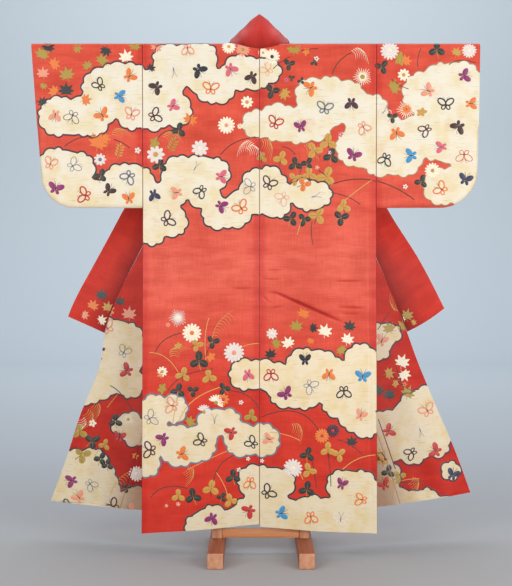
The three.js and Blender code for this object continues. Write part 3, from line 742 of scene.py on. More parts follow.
def crease_depth(chart):
    """Height of the creases' troughs (below 0) and of the soft ridges beside them."""
    total = np.zeros(len(chart))
    for line, width, depth in CREASES:
        points = grid_mm(np.array(line))
        near = np.full(len(chart), 1e9)
        share = np.zeros(len(chart))
        lengths = np.linalg.norm(np.diff(points, axis=0), axis=1)
        whole, done = lengths.sum(), 0.0
        for p, q, length in zip(points[:-1], points[1:], lengths):
            t = np.clip(((chart - p) @ (q - p)) / length ** 2, 0, 1)
            d = np.linalg.norm(chart - (p + t[:, None] * (q - p)), axis=1)
            closer = d < near
            near = np.where(closer, d, near)
            share = np.where(closer, (done + t * length) / whole, share)
            done += length
        ends = np.sin(np.pi * np.clip(share, 0.02, 0.98)) ** 0.5
        total -= depth * ends * np.exp(-(near / width) ** 2)
        total += LIP * depth * ends * np.exp(-((near - LIP_AT * width) / width) ** 2)
    return total


# ---- panels ----
class Panel:
    """A cut piece: its outer face, its outline on the cloth and how the drawing maps onto it."""

    def __init__(self, name, side, surface, outline, to_cloth, grid, extra=None, relief=None,
                 thickness=None):
        self.name, self.side = name, side
        self.surface = lambda a, b: surface(side, a, b)
        self.outline = outline
        self.to_cloth, self.maps = to_cloth, [to_cloth]
        # a front's upper part carries the back's upper pattern again, turned over the shoulder
        self.hidden = lambda chart: np.stack([HALF_TOP - side * chart[:, 0], chart[:, 1]], 1)
        self.grid, self.extra, self.relief = grid, extra, relief
        self.thickness = thickness or (lambda a, b: np.full(len(a), CLOTH))

    def lifted(self, cloth, lift):
        """Points at a height over the panel's outer face."""
        a, b = cloth[:, 0], cloth[:, 1]
        out = -self.side * normals(self.surface, a, b)
        base = self.surface(a, b)
        if self.relief is not None:
            lift = lift + self.relief(self, cloth)
        return base + out * np.asarray(lift)[..., None]


def inside(loops, points):
    """Even-odd test of points against closed loops."""
    odd = np.zeros(len(points), bool)
    for loop in loops:
        x1, y1 = loop[:, 0], loop[:, 1]
        x2, y2 = np.roll(x1, -1), np.roll(y1, -1)
        for first in range(0, len(points), 4000):
            px = points[first:first + 4000, 0][:, None]
            py = points[first:first + 4000, 1][:, None]
            spans = (y1 > py) != (y2 > py)
            with np.errstate(divide="ignore", invalid="ignore"):
                cut = x1 + (py - y1) * (x2 - x1) / (y2 - y1)
            odd[first:first + 4000] ^= ((spans & (px < cut)).sum(1) % 2).astype(bool)
    return odd


def inset(outline, distance):
    """The outline moved inwards a little."""
    ahead = unit(np.roll(outline, -1, 0) - np.roll(outline, 1, 0) + 1e-9)
    sense = np.sign(np.dot(outline[:, 0], np.roll(outline[:, 1], -1))
                    - np.dot(outline[:, 1], np.roll(outline[:, 0], -1)))
    return outline + sense * distance * np.stack([-ahead[:, 1], ahead[:, 0]], 1)


def dense(points, spacing):
    """A closed outline with points at most about one spacing apart."""
    points = np.asarray(points, float)
    rows = []
    for p, q in zip(points, np.roll(points, -1, 0)):
        count = max(1, int(round(np.linalg.norm(q - p) / spacing)))
        rows += [p + (q - p) * k / count for k in range(count)]
    return np.array(rows)


def add_object(name, vertices, faces, materials, indices=None, uvs=None, sharp=None):
    """A mesh object, with its places on the cloth as its uv map."""
    mesh = bpy.data.meshes.new(name)
    mesh.from_pydata(np.asarray(vertices).tolist(), [], [list(map(int, f)) for f in faces])
    for material in materials:
        mesh.materials.append(material)
    if indices is not None:
        mesh.polygons.foreach_set("material_index", np.asarray(indices, np.int32))
    layer = mesh.uv_layers.new(name="cloth")
    loops = np.zeros(len(mesh.loops), np.int32)
    mesh.loops.foreach_get("vertex_index", loops)
    if uvs is not None:
        layer.data.foreach_set("uv", np.asarray(uvs, np.float32)[loops].ravel())
    mesh.shade_smooth()
    if sharp is not None:
        mesh.set_sharp_from_angle(angle=math.radians(sharp))
    mesh.update()
    made = bpy.data.objects.new(name, mesh)
    bpy.context.scene.collection.objects.link(made)
    return made


RIM_ROWS, RIM_CLEAR = (1.6, 4.5), 6.5   # rows of points inside a panel's edge, and where its net starts
EDGE_ROOM = 12                          # how far past a panel a cloud's points are still kept


def flat_mesh(panel, banks):
    """A panel's cloth cut into triangles, and which of them lie in a cloud."""
    outline = panel.outline
    low, high = outline.min(0) - EDGE_ROOM, outline.max(0) + EDGE_ROOM
    points = [outline, *(inset(outline, row) for row in RIM_ROWS)]
    clear = [inset(outline, RIM_CLEAR)]
    points.append(panel.grid[inside(clear, panel.grid)])
    if panel.extra is not None:
        extra = panel.extra(panel)
        points.append(extra[inside(clear, extra)])
    edges = [(i, (i + 1) % len(outline)) for i in range(len(outline))]
    first = sum(len(p) for p in points)
    for loop in (loop for bank in banks for loop in bank):
        near = ((loop > low) & (loop < high)).all(1)
        near = near | np.roll(near, 1) | np.roll(near, -1)
        index = {}
        for i in np.nonzero(near)[0]:
            index[i] = first + len(index)
        if not index:
            continue
        points.append(loop[near])
        for i in index:
            j = (i + 1) % len(loop)
            if j in index:
                edges.append((index[i], index[j]))
        first += len(index)
    done = delaunay_2d_cdt([Vector(p) for p in np.concatenate(points)], edges, [], 0, 0.02)
    vertices = np.array([tuple(v) for v in done[0]])
    triangles = np.array(done[2])
    triangles = triangles[inside([outline], vertices[triangles].mean(1))]
    middles = vertices[triangles].mean(1)
    pale = np.zeros(len(triangles), bool)
    for bank in banks:
        pale |= inside(bank, middles)
    used, triangles = np.unique(triangles, return_inverse=True)
    return vertices[used], triangles.reshape(-1, 3), pale


def rim_faces(triangles, count):
    """Faces that join the open edges of a sheet to its copy, with the triangle next to each."""
    directed = np.concatenate([triangles[:, [0, 1]], triangles[:, [1, 2]], triangles[:, [2, 0]]])
    owner = np.tile(np.arange(len(triangles)), 3)
    key = {tuple(e): o for e, o in zip(directed.tolist(), owner.tolist())}
    open_edges = [(u, v, o) for (u, v), o in key.items() if (v, u) not in key]
    return [(v, u, u + count, v + count) for u, v, _ in open_edges], [o for _, _, o in open_edges]


def shell(panel, clouds, red, pale_silk):
    """A closed thin shell over a panel, with the clouds as faces of their own."""
    banks = [[convert(loop) for loop in cloud_loops(cloud)] for cloud, convert in clouds]
    cloth, triangles, pale = flat_mesh(panel, banks)
    outer = panel.lifted(cloth, np.zeros(len(cloth)))
    a, b = cloth[:, 0], cloth[:, 1]
    out = -panel.side * normals(panel.surface, a, b)
    inner = outer - out * panel.thickness(a, b)[:, None]
    count = len(cloth)
    # turn the triangles so that they face outwards
    p, q, r = (outer[triangles[:, k]] for k in range(3))
    wrong = (np.cross(q - p, r - p) * out[triangles[:, 0]]).sum(-1) < 0
    triangles[wrong] = triangles[wrong][:, ::-1]
    rim, rim_owner = rim_faces(triangles, count)
    faces = [*triangles.tolist(), *(triangles[:, ::-1] + count).tolist(), *rim]
    indices = np.concatenate([pale.astype(int), np.full(len(triangles), 2),
                              pale[rim_owner].astype(int)])
    uvs = np.concatenate([cloth, cloth]) * MM
    made = add_object(panel.name + "_cloth", in_frame(np.concatenate([outer, inner])), faces,
                      [red, pale_silk, LINING], indices, uvs, sharp=48)
    # Painted shade: each crease of the back darkens the cloth by its depth.
    crease_shade = np.zeros(2 * count, np.float32)
    if panel.name.startswith("back"):
        crease_shade[:count] = np.clip(-crease_depth(back_chart(panel.side, cloth)), 0, 3)
    made.data.attributes.new("crease_shade", "FLOAT", "POINT").data.foreach_set("value", crease_shade)
    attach(made, "root")
    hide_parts(panel.name)
    return made


def regular(low, high, size):
    """A triangular net of points over a rectangle."""
    rows = np.arange(low[1], high[1] + size, size * 0.866)
    points = []
    for k, b in enumerate(rows):
        a = np.arange(low[0] + (size / 2 if k % 2 else 0), high[0] + size, size)
        points.append(np.stack([a, np.full(len(a), b)], 1))
    return np.concatenate(points)


NET_WIDE, NET_FINE = 8.5, 4.5           # spacing of a shell's points, and near the shoulder ridge
SEAM_DIP, SEAM_REACH = 0.9, 2.6         # how deep and how far in the cloth dips at a seam


def hung_net(width):
    """Points of a piece that hangs from the shoulder ridge, closer together near it."""
    return np.concatenate([
        regular((0, 42), (width, LENGTH), NET_WIDE), regular((0, 2), (width, 40), NET_FINE)])


def dip(a, seam):
    """The cloth's dip beside a seam."""
    return -SEAM_DIP * np.exp(-((a - seam) / SEAM_REACH) ** 2)


def seam_roll(panel, cloth):
    """The cloth dips where it is sewn, within a few millimetres of its cut edge."""
    return dip(cloth[:, 0], panel.outline[:, 0].min()) + dip(cloth[:, 0], panel.outline[:, 0].max())


def hem_rise(side, out, down):
    """How far a place on the back is drawn up towards the centre seam."""
    return SLEEVES[side]["rise"] * (1 - out / HALF_TOP) * np.clip(down / LENGTH, 0, 1) ** 3


def back_chart(side, cloth):
    """Places on a back's cloth as places on the drawing."""
    out, down = cloth[:, 0], cloth[:, 1]
    return np.stack([side * out * half_width(down) / HALF_TOP, down - hem_rise(side, out, down)], 1)


def back_to_cloth(side):
    """The way from the drawing to a back's cloth."""
    def convert(chart):
        out = side * chart[:, 0] * HALF_TOP / half_width(chart[:, 1])
        return np.stack([out, chart[:, 1] + hem_rise(side, out, chart[:, 1])], 1)
    return convert


def back_relief(panel, cloth):
    """Dips at the seams, the creases and a soft unevenness."""
    chart = back_chart(panel.side, cloth)
    soft = 0.5 * np.sin(chart[:, 1] / 61 + 1.3 * np.sin(chart[:, 0] / 83)) * step(chart[:, 1], 60, 300)
    return seam_roll(panel, cloth) + crease_depth(chart) + soft


def crease_points(panel):
    """Rows of points across each crease, so that the shell can follow it."""
    rows = []
    for line, width, _ in CREASES:
        points = grid_mm(np.array(line))
        for p, q in zip(points[:-1], points[1:]):
            count = max(2, int(np.linalg.norm(q - p) / 5))
            way = unit(q - p)
            side = np.array([-way[1], way[0]])
            for t in np.linspace(0, 1, count):
                rows += [p + (q - p) * t + side * k * width * 0.45 for k in range(-5, 6)]
    return panel.to_cloth(np.array(rows))


def back_panel(side):
    outs = np.linspace(SEAM, NECK_HALF, 12)
    outline = [(o, float(neckline(o)) + HALF_GAP) for o in outs] + [(HALF_TOP + HALF_GAP - SEAM, HALF_GAP),
               (HALF_TOP + HALF_GAP - SEAM, LENGTH), (SEAM, LENGTH)]
    return Panel("back_" + SIDE_NAME[side], side, back_surface, dense(outline, 7), back_to_cloth(side),
                 hung_net(HALF_TOP), crease_points, back_relief)


def wing_to_cloth(side):
    """The way from the drawing to a wing's cloth, as the eye sees it."""
    def convert(chart):
        start = np.stack([np.full(len(chart), 420.0), np.clip(chart[:, 1], 150, 1480)], 1)
        return solve_cloth(lambda a, b: front_surface(side, a, b), chart, start)
    return convert


def wing_relief(panel, cloth):
    """Dips at the seams and soft upright waves."""
    a, b = cloth[:, 0], cloth[:, 1]
    return seam_roll(panel, cloth) + 0.8 * np.sin(a / 37 + b / 140) * step(b, 120, 500)


def front_panel(side):
    downs = dense([(HALF_GAP, 0), (OKUMI_START, 0)], 9)[:, 0]
    downs = np.unique(np.concatenate([downs[downs < OKUMI_START], [OKUMI_START]]))
    right = [(float(min(front_width(d), PANEL)) - SEAM, d) for d in downs]
    outline = [(0.2, HALF_GAP), *right, (PANEL - SEAM, LENGTH), (0.2, LENGTH)]

    def fold_points(panel):
        rows = []
        for down in np.arange(30, LENGTH, 11):
            path = front_path(side, np.array([down]))
            scale = front_width(down) / path["total"][0]
            start, end = path["before"][0] * scale, (path["before"][0] + path["round"][0]) * scale
            rows += [(a, down) for a in np.linspace(start - 4, end + 4, 11)]
        return np.array(rows)

    return Panel("front_" + SIDE_NAME[side], side, front_surface, dense(outline, 8), wing_to_cloth(side),
                 hung_net(PANEL), fold_points, wing_relief)


def okumi_panel(side):
    downs = np.linspace(OKUMI_START + 1, LENGTH, 140)
    right = [(float(front_width(d)), d) for d in downs]
    left = [(PANEL + SEAM, d) for d in downs[::-1]]
    outline = [p for p in right if p[0] > PANEL + 1.5] + [p for p in left if front_width(p[1]) > PANEL + 1.5]
    return Panel("okumi_" + SIDE_NAME[side], side, front_surface, np.array(outline), wing_to_cloth(side),
                 regular((PANEL, OKUMI_START), (FRONT_WIDTH, LENGTH), NET_WIDE), None, wing_relief)


def sleeve_panel(side):
    corner = SLEEVES[side]["corner"]
    start = HALF_TOP + HALF_GAP + SEAM
    bottom = ROD_Z + ARM_RADIUS - SLEEVE_DROP
    middle_z = bottom + corner
    middle_out = float(sleeve_edge_out(side, middle_z)) - corner
    lower = [(start, SLEEVE_END), (middle_out, SLEEVE_END)]
    for angle in np.linspace(0, math.pi / 2, 18)[1:]:
        z = middle_z - corner * math.cos(angle)
        lower.append((middle_out + corner * math.sin(angle), ROD_Z + ARC - z))
    upper = [(float(sleeve_edge_out(side, ROD_Z + ARC - d)), d) for d in (200.0, 100.0, ARC, 0.0)]
    half = [*lower, *upper]
    outline = [*half, *[(o, -d) for o, d in half[::-1][1:]]]

    def to_cloth(chart):
        return np.stack([side * chart[:, 0], chart[:, 1]], 1)

    def relief(panel, cloth):
        a, b = cloth[:, 0], cloth[:, 1]
        return dip(a, start) + 0.5 * np.sin(a / 71 + np.abs(b) / 53) * step(np.abs(b), 60, 200)

    def thickness(a, b):
        z = ROD_Z + ARC - np.abs(b)
        return 0.3 + 1.4 * step(sleeve_inside(side, a, z), 0, 9)

    grid = np.concatenate([
        regular((start, -SLEEVE_END), (SLEEVES[side]["top"], -40), NET_WIDE),
        regular((start, -38), (SLEEVES[side]["top"], 38), NET_FINE),
        regular((start, 40), (SLEEVES[side]["top"], SLEEVE_END), NET_WIDE)])
    made = Panel("sleeve_" + SIDE_NAME[side], side, sleeve_surface, dense(outline, 7), to_cloth,
                 grid, None, relief, thickness)
    made.maps.append(lambda chart: to_cloth(chart) * (1, -1))
    return made


PANELS = {}
for side in (LEFT, RIGHT):
    for made in (back_panel(side), front_panel(side), okumi_panel(side), sleeve_panel(side)):
        PANELS[made.name] = made


WING_CLOUDS = {LEFT: ((WING_LEFT, DARK_PURPLE),), RIGHT: ((WING_RIGHT, DARK_PURPLE),)}
SHELLS = {}
for name, panel in PANELS.items():
    if name.startswith(("front", "okumi")):
        clouds = [(cloud, panel.to_cloth) for cloud, _ in WING_CLOUDS[panel.side]]
        clouds += [(cloud, panel.hidden) for cloud, _ in BACK_CLOUDS[:3]]
        SHELLS[name] = shell(panel, clouds, WING_RED, WING_CREAM)
    else:
        clouds = [(cloud, convert) for cloud, _ in BACK_CLOUDS for convert in panel.maps]
        SHELLS[name] = shell(panel, clouds, RED, CREAM)


# ---- embroidery ----
# Every motif is a plain drawing of its kind, made from ovals, arcs and ribbons by the functions
# below. The tables say which kind goes where on the drawing grid, in which silk, how it is turned
# (degrees, clockwise from upright) and how large it is, all read off the photo.
class Stitches:
    """Raised pieces of embroidery, in millimetres over the back, before they are laid on a panel."""

    def __init__(self):
        self.points, self.lifts, self.faces, self.colours, self.count = [], [], [], [], 0
        self.place(0, 0, 0)

    def place(self, x, y, turn, size=1.0, squeeze=1.0):
        c, s = math.cos(math.radians(turn)), math.sin(math.radians(turn))
        self.matrix = np.array([[c * size * squeeze, -s * size], [s * size * squeeze, c * size]])
        self.centre = np.array([x, y])
        return self

    def on_grid(self, column, row, turn=0, size=1.0, squeeze=1.0):
        x, y = grid_mm((column, row))
        return self.place(x, y, turn, size, squeeze)

    def add(self, points, lifts, faces, colour):
        placed = np.asarray(points, float) @ self.matrix.T + self.centre
        self.points.append(placed)
        self.lifts.append(np.asarray(lifts, float))
        self.faces += [tuple(i + self.count for i in face) for face in faces]
        self.colours += [colour] * len(faces)
        self.count += len(placed)

    def patch(self, ring, colour, lift=0.95, edge=0.3, domed=True):
        """A filled shape that swells a little towards its middle."""
        ring = np.asarray(ring, float)
        n, middle = len(ring), ring.mean(0)
        loop = [(i, (i + 1) % n) for i in range(n)]
        if not domed:
            self.add([*ring, middle], [edge + 0.25] * n + [lift], [(i, j, n) for i, j in loop], colour)
            return
        inner = middle + (ring - middle) * 0.68
        faces = [(i, j, n + j, n + i) for i, j in loop] + [(n + i, n + j, 2 * n) for i, j in loop]
        self.add([*ring, *inner, middle], [edge] * n + [lift] * n + [lift + 0.12], faces, colour)

    def ribbon(self, path, width, colour, lift=1.0, closed=False, taper=False, edge=0.3):
        """A couched or stem-stitched line."""
        path = np.asarray(path, float)
        n = len(path)
        ahead = np.roll(path, -1, 0) - np.roll(path, 1, 0)
        if not closed:
            ahead[0], ahead[-1] = path[1] - path[0], path[-1] - path[-2]
        ahead = unit(ahead + 1e-9)
        across = np.stack([-ahead[:, 1], ahead[:, 0]], 1) * width / 2
        if taper:
            across = across * np.linspace(1, 0.35, n)[:, None]
        faces = []
        for i in range(n if closed else n - 1):
            j = (i + 1) % n
            faces += [(i, j, n + j, n + i), (n + i, n + j, 2 * n + j, 2 * n + i)]
        lifts = [edge] * n + [lift] * n + [edge] * n
        self.add([*(path - across), *path, *(path + across)], lifts, faces, colour)


def oval(x, y, long, wide, turn=0, count=12):
    t = np.linspace(0, math.tau, count, endpoint=False)
    c, s = math.cos(math.radians(turn)), math.sin(math.radians(turn))
    u, v = long * np.cos(t), wide * np.sin(t)
    return np.stack([x + u * c - v * s, y + u * s + v * c], 1)


def arc(*controls, count=9):
    """A quadratic curve through its end points."""
    p, q, r = (np.array(c, float) for c in controls)
    t = np.linspace(0, 1, count)[:, None]
    return p * (1 - t) ** 2 + q * 2 * t * (1 - t) + r * t * t


def butterfly(s, style, colour):
    feelers = "dark_brown"
    for hand in (-1, 1):
        upper = oval(hand * 12.0, -6.6, 13.2, 8.2, -hand * 34, 16)
        lower = oval(hand * 7.0, 8.6, 7.0, 5.2, hand * 52, 12)
        if style == "solid":
            s.patch(upper, colour)
            s.patch(lower, colour)
        elif style == "outline":
            s.ribbon(upper, 4.2, colour, closed=True)
            s.ribbon(lower, 3.6, colour, closed=True)
        else:
            s.ribbon(upper, 1.8, colour, 0.6, closed=True)
            s.ribbon(lower, 1.6, colour, 0.6, closed=True)
            feelers = "grey_blue" if colour == "pale" else colour
        s.ribbon(arc((hand * 0.8, -3), (hand * 2.5, -14), (hand * 9, -22)), 1.5, feelers, taper=True)
    s.patch(oval(0, 1, 1.7, 6.5, 0, 8), feelers, 1.3)


def maple(s, colour):
    tips = ((0, 1.0), (44, 0.9), (84, 0.72), (124, 0.45))
    dips = ((22, 0.52), (64, 0.50), (104, 0.40), (158, 0.24))
    half = []
    for (a, r), (b, q) in zip(tips, dips):
        half += [(a, r), (a + 9, r * 0.66), (b, q)] if a else [(0, r), (8, 0.68), (b, q)]
        if b < 150:
            half.append((b + 11, q + 0.2))
    around = half + [(180, 0.12)] + [(-a, r) for a, r in half[:0:-1]]
    ring = [(28 * r * math.sin(math.radians(a)), -28 * r * math.cos(math.radians(a))) for a, r in around]
    s.patch(ring, colour, 0.9, domed=False)
    s.ribbon([(0, 2), (1, 8), (3.5, 14)], 1.3, colour)


def chrysanthemum(s, petals, heart, count=15, radius=30.0, start=0, sweep=360, narrow=1.0):
    whole = sweep == 360
    number = count if whole else count + 1
    for ring, (far, near) in enumerate(((1.0, 0.34), (0.7, 0.16))):
        for k in range(number):
            turn = start + sweep * (k + 0.5 * ring) / count - 90
            middle, reach = radius * (far + near) / 2, radius * (far - near) / 2
            wide = narrow * math.pi * radius * (far + near) / 2 / (count * 360 / sweep) * 1.05
            x, y = middle * math.cos(math.radians(turn)), middle * math.sin(math.radians(turn))
            s.patch(oval(x, y, reach, wide, turn, 9), petals, 0.9 + 0.35 * ring, 0.3 + 0.35 * ring)
    s.patch(oval(0, 0, radius * 0.24, radius * 0.24), heart, 1.8, 0.9)


def burst(s, petals, heart, count=22, radius=27.0):
    for k in range(count):
        turn = math.tau * k / count
        far = radius * (0.78 + 0.22 * math.sin(k * 2.4) ** 2)
        tip = (far * math.cos(turn), far * math.sin(turn))
        s.ribbon([(0.2 * tip[0], 0.2 * tip[1]), (0.6 * tip[0], 0.6 * tip[1]), tip], 3.2, petals, taper=True)
    s.patch(oval(0, 0, radius * 0.25, radius * 0.25), heart, 1.7, 0.8)


def daisy(s, petals, heart, radius=17.0, count=9):
    for k in range(count):
        turn = 360 * k / count
        x, y = 0.62 * radius * math.cos(math.radians(turn)), 0.62 * radius * math.sin(math.radians(turn))
        s.patch(oval(x, y, 0.4 * radius, 0.23 * radius, turn, 8), petals)
    s.patch(oval(0, 0, radius * 0.28, radius * 0.28), heart, 1.4, 0.8)


def clover(s, colour):
    rib = "olive" if colour == "leaf" else "stem"
    s.ribbon(arc((0, 3), (1, 14), (5, 24), count=6), 1.6, rib)
    for turn in (-90, 28, 152):
        x, y = 12.6 * math.cos(math.radians(turn)), 12.6 * math.sin(math.radians(turn))
        s.patch(oval(x, y, 11.6, 9.0, turn, 12), colour)
        s.ribbon([(0.35 * x, 0.35 * y), (x, y), (1.6 * x, 1.6 * y)], 1.0, rib, 1.35, taper=True, edge=0.9)


def lobed_leaf(s, colour):
    t = np.linspace(0, math.tau, 30, endpoint=False)
    r = 15 * (1 + 0.24 * np.cos(5 * t + 0.4) - 0.1 * np.cos(2 * t))
    s.patch(np.stack([r * np.cos(t), 1.1 * r * np.sin(t)], 1), colour, 0.9, domed=False)
    rib = "gold" if colour != "gold" else "stem"
    s.ribbon([(0, 14), (0, 2), (0, -11)], 1.0, rib, 1.35, taper=True, edge=0.9)


def spray(s, colour):
    """Pairs of small long leaves on a bent stalk."""
    s.ribbon(arc((0, 24), (3, 4), (-4, -20)), 1.4, colour)
    for k, y in enumerate((14, 5, -4, -13)):
        for hand in (-1, 1):
            s.patch(oval(hand * 8 - k * 0.8, y - 3, 6.2, 3.0, -hand * 38, 9), colour)
    s.patch(oval(-4.5, -23, 3, 6, 0, 9), colour)


def blossom(s, colour, heart="ochre"):
    for k in range(5):
        turn = 72 * k
        x, y = 4.2 * math.cos(math.radians(turn)), 4.2 * math.sin(math.radians(turn))
        s.patch(oval(x, y, 3.6, 2.6, turn, 7), colour)
    s.patch(oval(0, 0, 1.9, 1.9, 0, 7), heart, 1.5, 0.8)


def pampas(s, colour="gold", strands=7, length=46.0, hand=1):
    """Fine curved strands that fall side by side from a bent tip."""
    for k in range(strands):
        root = (hand * k * 5.0, -9 * math.sin(0.5 * k))
        tip = (root[0] + hand * (12 + 1.5 * k), root[1] + length * (0.55 + 0.06 * k))
        bend = (root[0] + hand * 15, root[1] + 6)
        s.ribbon(arc(root, bend, tip, count=8), 1.8, colour, taper=True)


def plume(s, colour="gold", strands=9, hand=1):
    """A long ear of pampas grass that leans over, with strands on one side."""
    spine = arc((0, 60), (hand * 4, -10), (hand * 74, -40), count=14)
    s.ribbon(spine, 1.6, colour, taper=True)
    for k in range(strands):
        root = spine[3 + k]
        tip = root + np.array([hand * 22.0, 12.0 + 1.5 * k])
        s.ribbon(arc(root, root + (hand * 13.0, -4.0), tip, count=6), 1.4, colour, taper=True)


# style, silk, column, row, turn
BUTTERFLIES = (
    ("outline", "black", 100, 86, -42), ("solid", "orange", 130, 77.5, 48), ("solid", "blue", 120, 97, 95),
    ("solid", "salmon", 56, 116, 190), ("faint", "dark_brown", 73, 117, 200),
    ("solid", "orange", 103, 116, -35), ("outline", "salmon", 132, 115, 15),
    ("solid", "dark_brown", 157, 88, 228), ("outline", "salmon", 188, 50, 175),
    ("faint", "pale", 174, 71, 170), ("solid", "black", 199, 71, 140), ("solid", "pink", 230.5, 70, 150),
    ("solid", "dark_brown", 252, 78, 205), ("outline", "orange", 211, 89.5, 5),
    ("outline", "dark_purple", 155, 116.5, 70), ("solid", "pink", 173, 107, 60),
    ("outline", "salmon", 51, 164, 20), ("faint", "grey_blue", 74, 166, 60),
    ("solid", "magenta", 56, 189, 15), ("outline", "red", 85, 195.5, 282),
    ("solid", "dark_brown", 109, 191, 40), ("solid", "orange", 129, 199, -8),
    ("outline", "grey_blue", 129, 177, 215), ("solid", "navy", 154, 195, 165),
    ("solid", "salmon", 177, 193, 262), ("outline", "charcoal", 201, 191.5, 220),
    ("faint", "pale", 195, 169, 30), ("solid", "pink", 221, 177, 92), ("solid", "magenta", 221, 206, 120),
    ("outline", "orange", 241, 208, -35), ("faint", "grey_blue", 250, 187, 275),
    ("outline", "dark_purple", 167.5, 220, 60), ("outline", "dark_purple", 269, 184, 25),
    ("faint", "salmon", 267, 71, 320), ("faint", "salmon", 283, 198, 230),
    ("faint", "pale", 313.5, 197, 75), ("solid", "orange", 311, 88.5, 240),
    ("outline", "grey_blue", 324.5, 109, 10), ("solid", "dark_purple", 351, 104, 180),
    ("outline", "red", 275, 123.5, 20), ("solid", "magenta", 300.5, 127.5, -12),
    ("faint", "pale", 383, 113, 40), ("outline", "salmon", 363, 128, 150),
    ("solid", "orange", 396, 133.5, 165), ("solid", "magenta", 353, 156, 20),
    ("outline", "black", 385, 159.5, 200), ("solid", "blue", 411, 156, 268),
    ("outline", "dark_purple", 425, 130.5, 235), ("outline", "black", 445, 105, 0),
    ("solid", "salmon", 428, 92, 300), ("solid", "magenta", 463, 77, 75),
    ("solid", "orange", 470, 104.5, 85), ("solid", "dark_brown", 458, 127, 215),
    ("solid", "pink", 441, 147.5, 265), ("faint", "red", 463.5, 156, 180), ("solid", "navy", 465, 180, 15),
    ("outline", "orange", 441, 189.5, 305), ("solid", "pink", 248, 375, 170),
    ("outline", "red", 271, 375, 178), ("solid", "black", 305, 360, 0), ("solid", "orange", 329, 374, 185),
    ("solid", "blue", 363, 377, 5), ("outline", "black", 344, 392, 178),
    ("solid", "magenta", 286, 394.5, -35), ("faint", "grey_blue", 310, 386, 130),
    ("solid", "salmon", 361, 416, 25), ("outline", "salmon", 172, 406, 280),
    ("faint", "grey_blue", 150, 419, 65), ("solid", "magenta", 163, 439, 230),
    ("outline", "dark_purple", 149.5, 451, 275), ("solid", "orange", 181.5, 454.5, 75),
    ("outline", "black", 201, 441, 300), ("faint", "pale", 214.5, 422, 0),
    ("solid", "red", 231.5, 433, 240), ("outline", "black", 252, 444, 310),
    ("solid", "salmon", 269, 440, 285), ("outline", "orange", 250, 484, 185),
    ("outline", "charcoal", 268, 494, 50), ("solid", "magenta", 212, 519, 200),
    ("solid", "red", 249.5, 512.5, 235), ("solid", "blue", 281, 515, 75),
    ("outline", "orange", 311, 518, 172), ("faint", "pale", 341, 520.5, 5),
    ("solid", "magenta", 342, 485, 20), ("outline", "orange", 362, 501, 280),
)
WING_BUTTERFLIES = {
    LEFT: (
        ("outline", "salmon", 107, 328, 330), ("solid", "navy", 96, 358, 250),
        ("outline", "dark_purple", 88, 382, 0), ("solid", "red", 127, 371, 290),
        ("faint", "grey_blue", 124, 352, 30), ("solid", "red", 119, 438, 12),
        ("solid", "magenta", 71, 482, 255), ("faint", "grey_blue", 90, 486, 140),
        ("outline", "charcoal", 66, 508, 300), ("solid", "salmon", 78, 499, 325),
        ("solid", "orange", 96, 514, 275), ("outline", "dark_purple", 112, 508, 315),
        ("solid", "salmon", 131, 513, 300),
    ),
    RIGHT: (
        ("solid", "salmon", 382, 341, 20), ("outline", "salmon", 428, 411, 330),
        ("faint", "pale", 421, 431, 165), ("solid", "red", 389, 432, 60),
        ("outline", "dark_brown", 412, 454, 235), ("solid", "red", 437, 452, 290),
        ("solid", "navy", 454, 476, 20), ("solid", "red", 385, 486, 330),
        ("solid", "orange", 430, 506, 345),
    ),
}
# silk, column, row, turn, size
MAPLES = (
    ("leaf", 49, 50, 15, 1.0), ("leaf", 67, 93, 0, 1.15), ("leaf", 44, 104, 330, .8),
    ("leaf", 107, 51, 200, .9), ("leaf", 151, 70, 30, .7), ("olive", 43, 57, 20, 1.1),
    ("olive", 68, 77.5, 350, 1.15), ("olive", 77, 49, 100, .8), ("olive", 102, 63, 40, 1.0),
    ("olive", 89, 68, 330, .8), ("olive", 135, 49, 10, .9), ("orange", 54, 66, 60, .95),
    ("orange", 56, 93, 300, .9), ("orange", 85, 101, 80, .9), ("orange", 98, 145, 20, 1.5),
    ("salmon", 44, 76, 0, .95), ("cream", 127, 60, 350, 1.1), ("salmon", 156, 50, 30, .9),
    ("olive", 45, 86, 200, .6), ("orange", 104, 138, 150, 1.0), ("olive", 293.5, 52, 10, 1.1),
    ("olive", 392, 89, 60, 1.1), ("ochre", 283, 94, 120, .95), ("orange", 190, 122, 20, 1.1),
    ("olive", 296, 328, 10, 1.0), ("leaf", 312, 328, 90, .75), ("leaf", 349.5, 328, 5, .95),
    ("leaf", 271, 356, 350, .9), ("cream", 324.5, 333, 15, 1.1), ("cream", 289, 344.5, 330, 1.0),
    ("cream", 347, 341, 20, 1.0), ("olive", 275, 344.5, 60, .85), ("olive", 340.5, 349, 140, .85),
    ("orange", 303, 315, 20, .95), ("orange", 311, 340, 200, .6), ("leaf", 352, 444, 0, .9),
    ("olive", 189, 423, 60, .9), ("orange", 404, 63, 40, .9), ("ochre", 455, 55, 20, .8),
)
WING_MAPLES = {
    LEFT: (
        ("salmon", 107, 312, 20, 1.1), ("salmon", 129, 316, 5, 1.1), ("leaf", 120, 303, 0, .8),
        ("ochre", 108, 298, 40, .9), ("ochre", 114, 289, 0, .9), ("salmon", 96, 303, 100, .7),
    ),
    RIGHT: (
        ("cream", 402, 364, 20, 1.15), ("cream", 404, 374, 150, 1.0), ("olive", 390, 330, 340, 1.0),
        ("olive", 403, 328, 10, 1.0), ("leaf", 390, 397, 0, 1.0), ("leaf", 378, 392, 40, .9),
        ("olive", 408, 395, 20, 1.1), ("ochre", 388, 374, 80, .9), ("ochre", 380, 456, 50, .8),
    ),
}
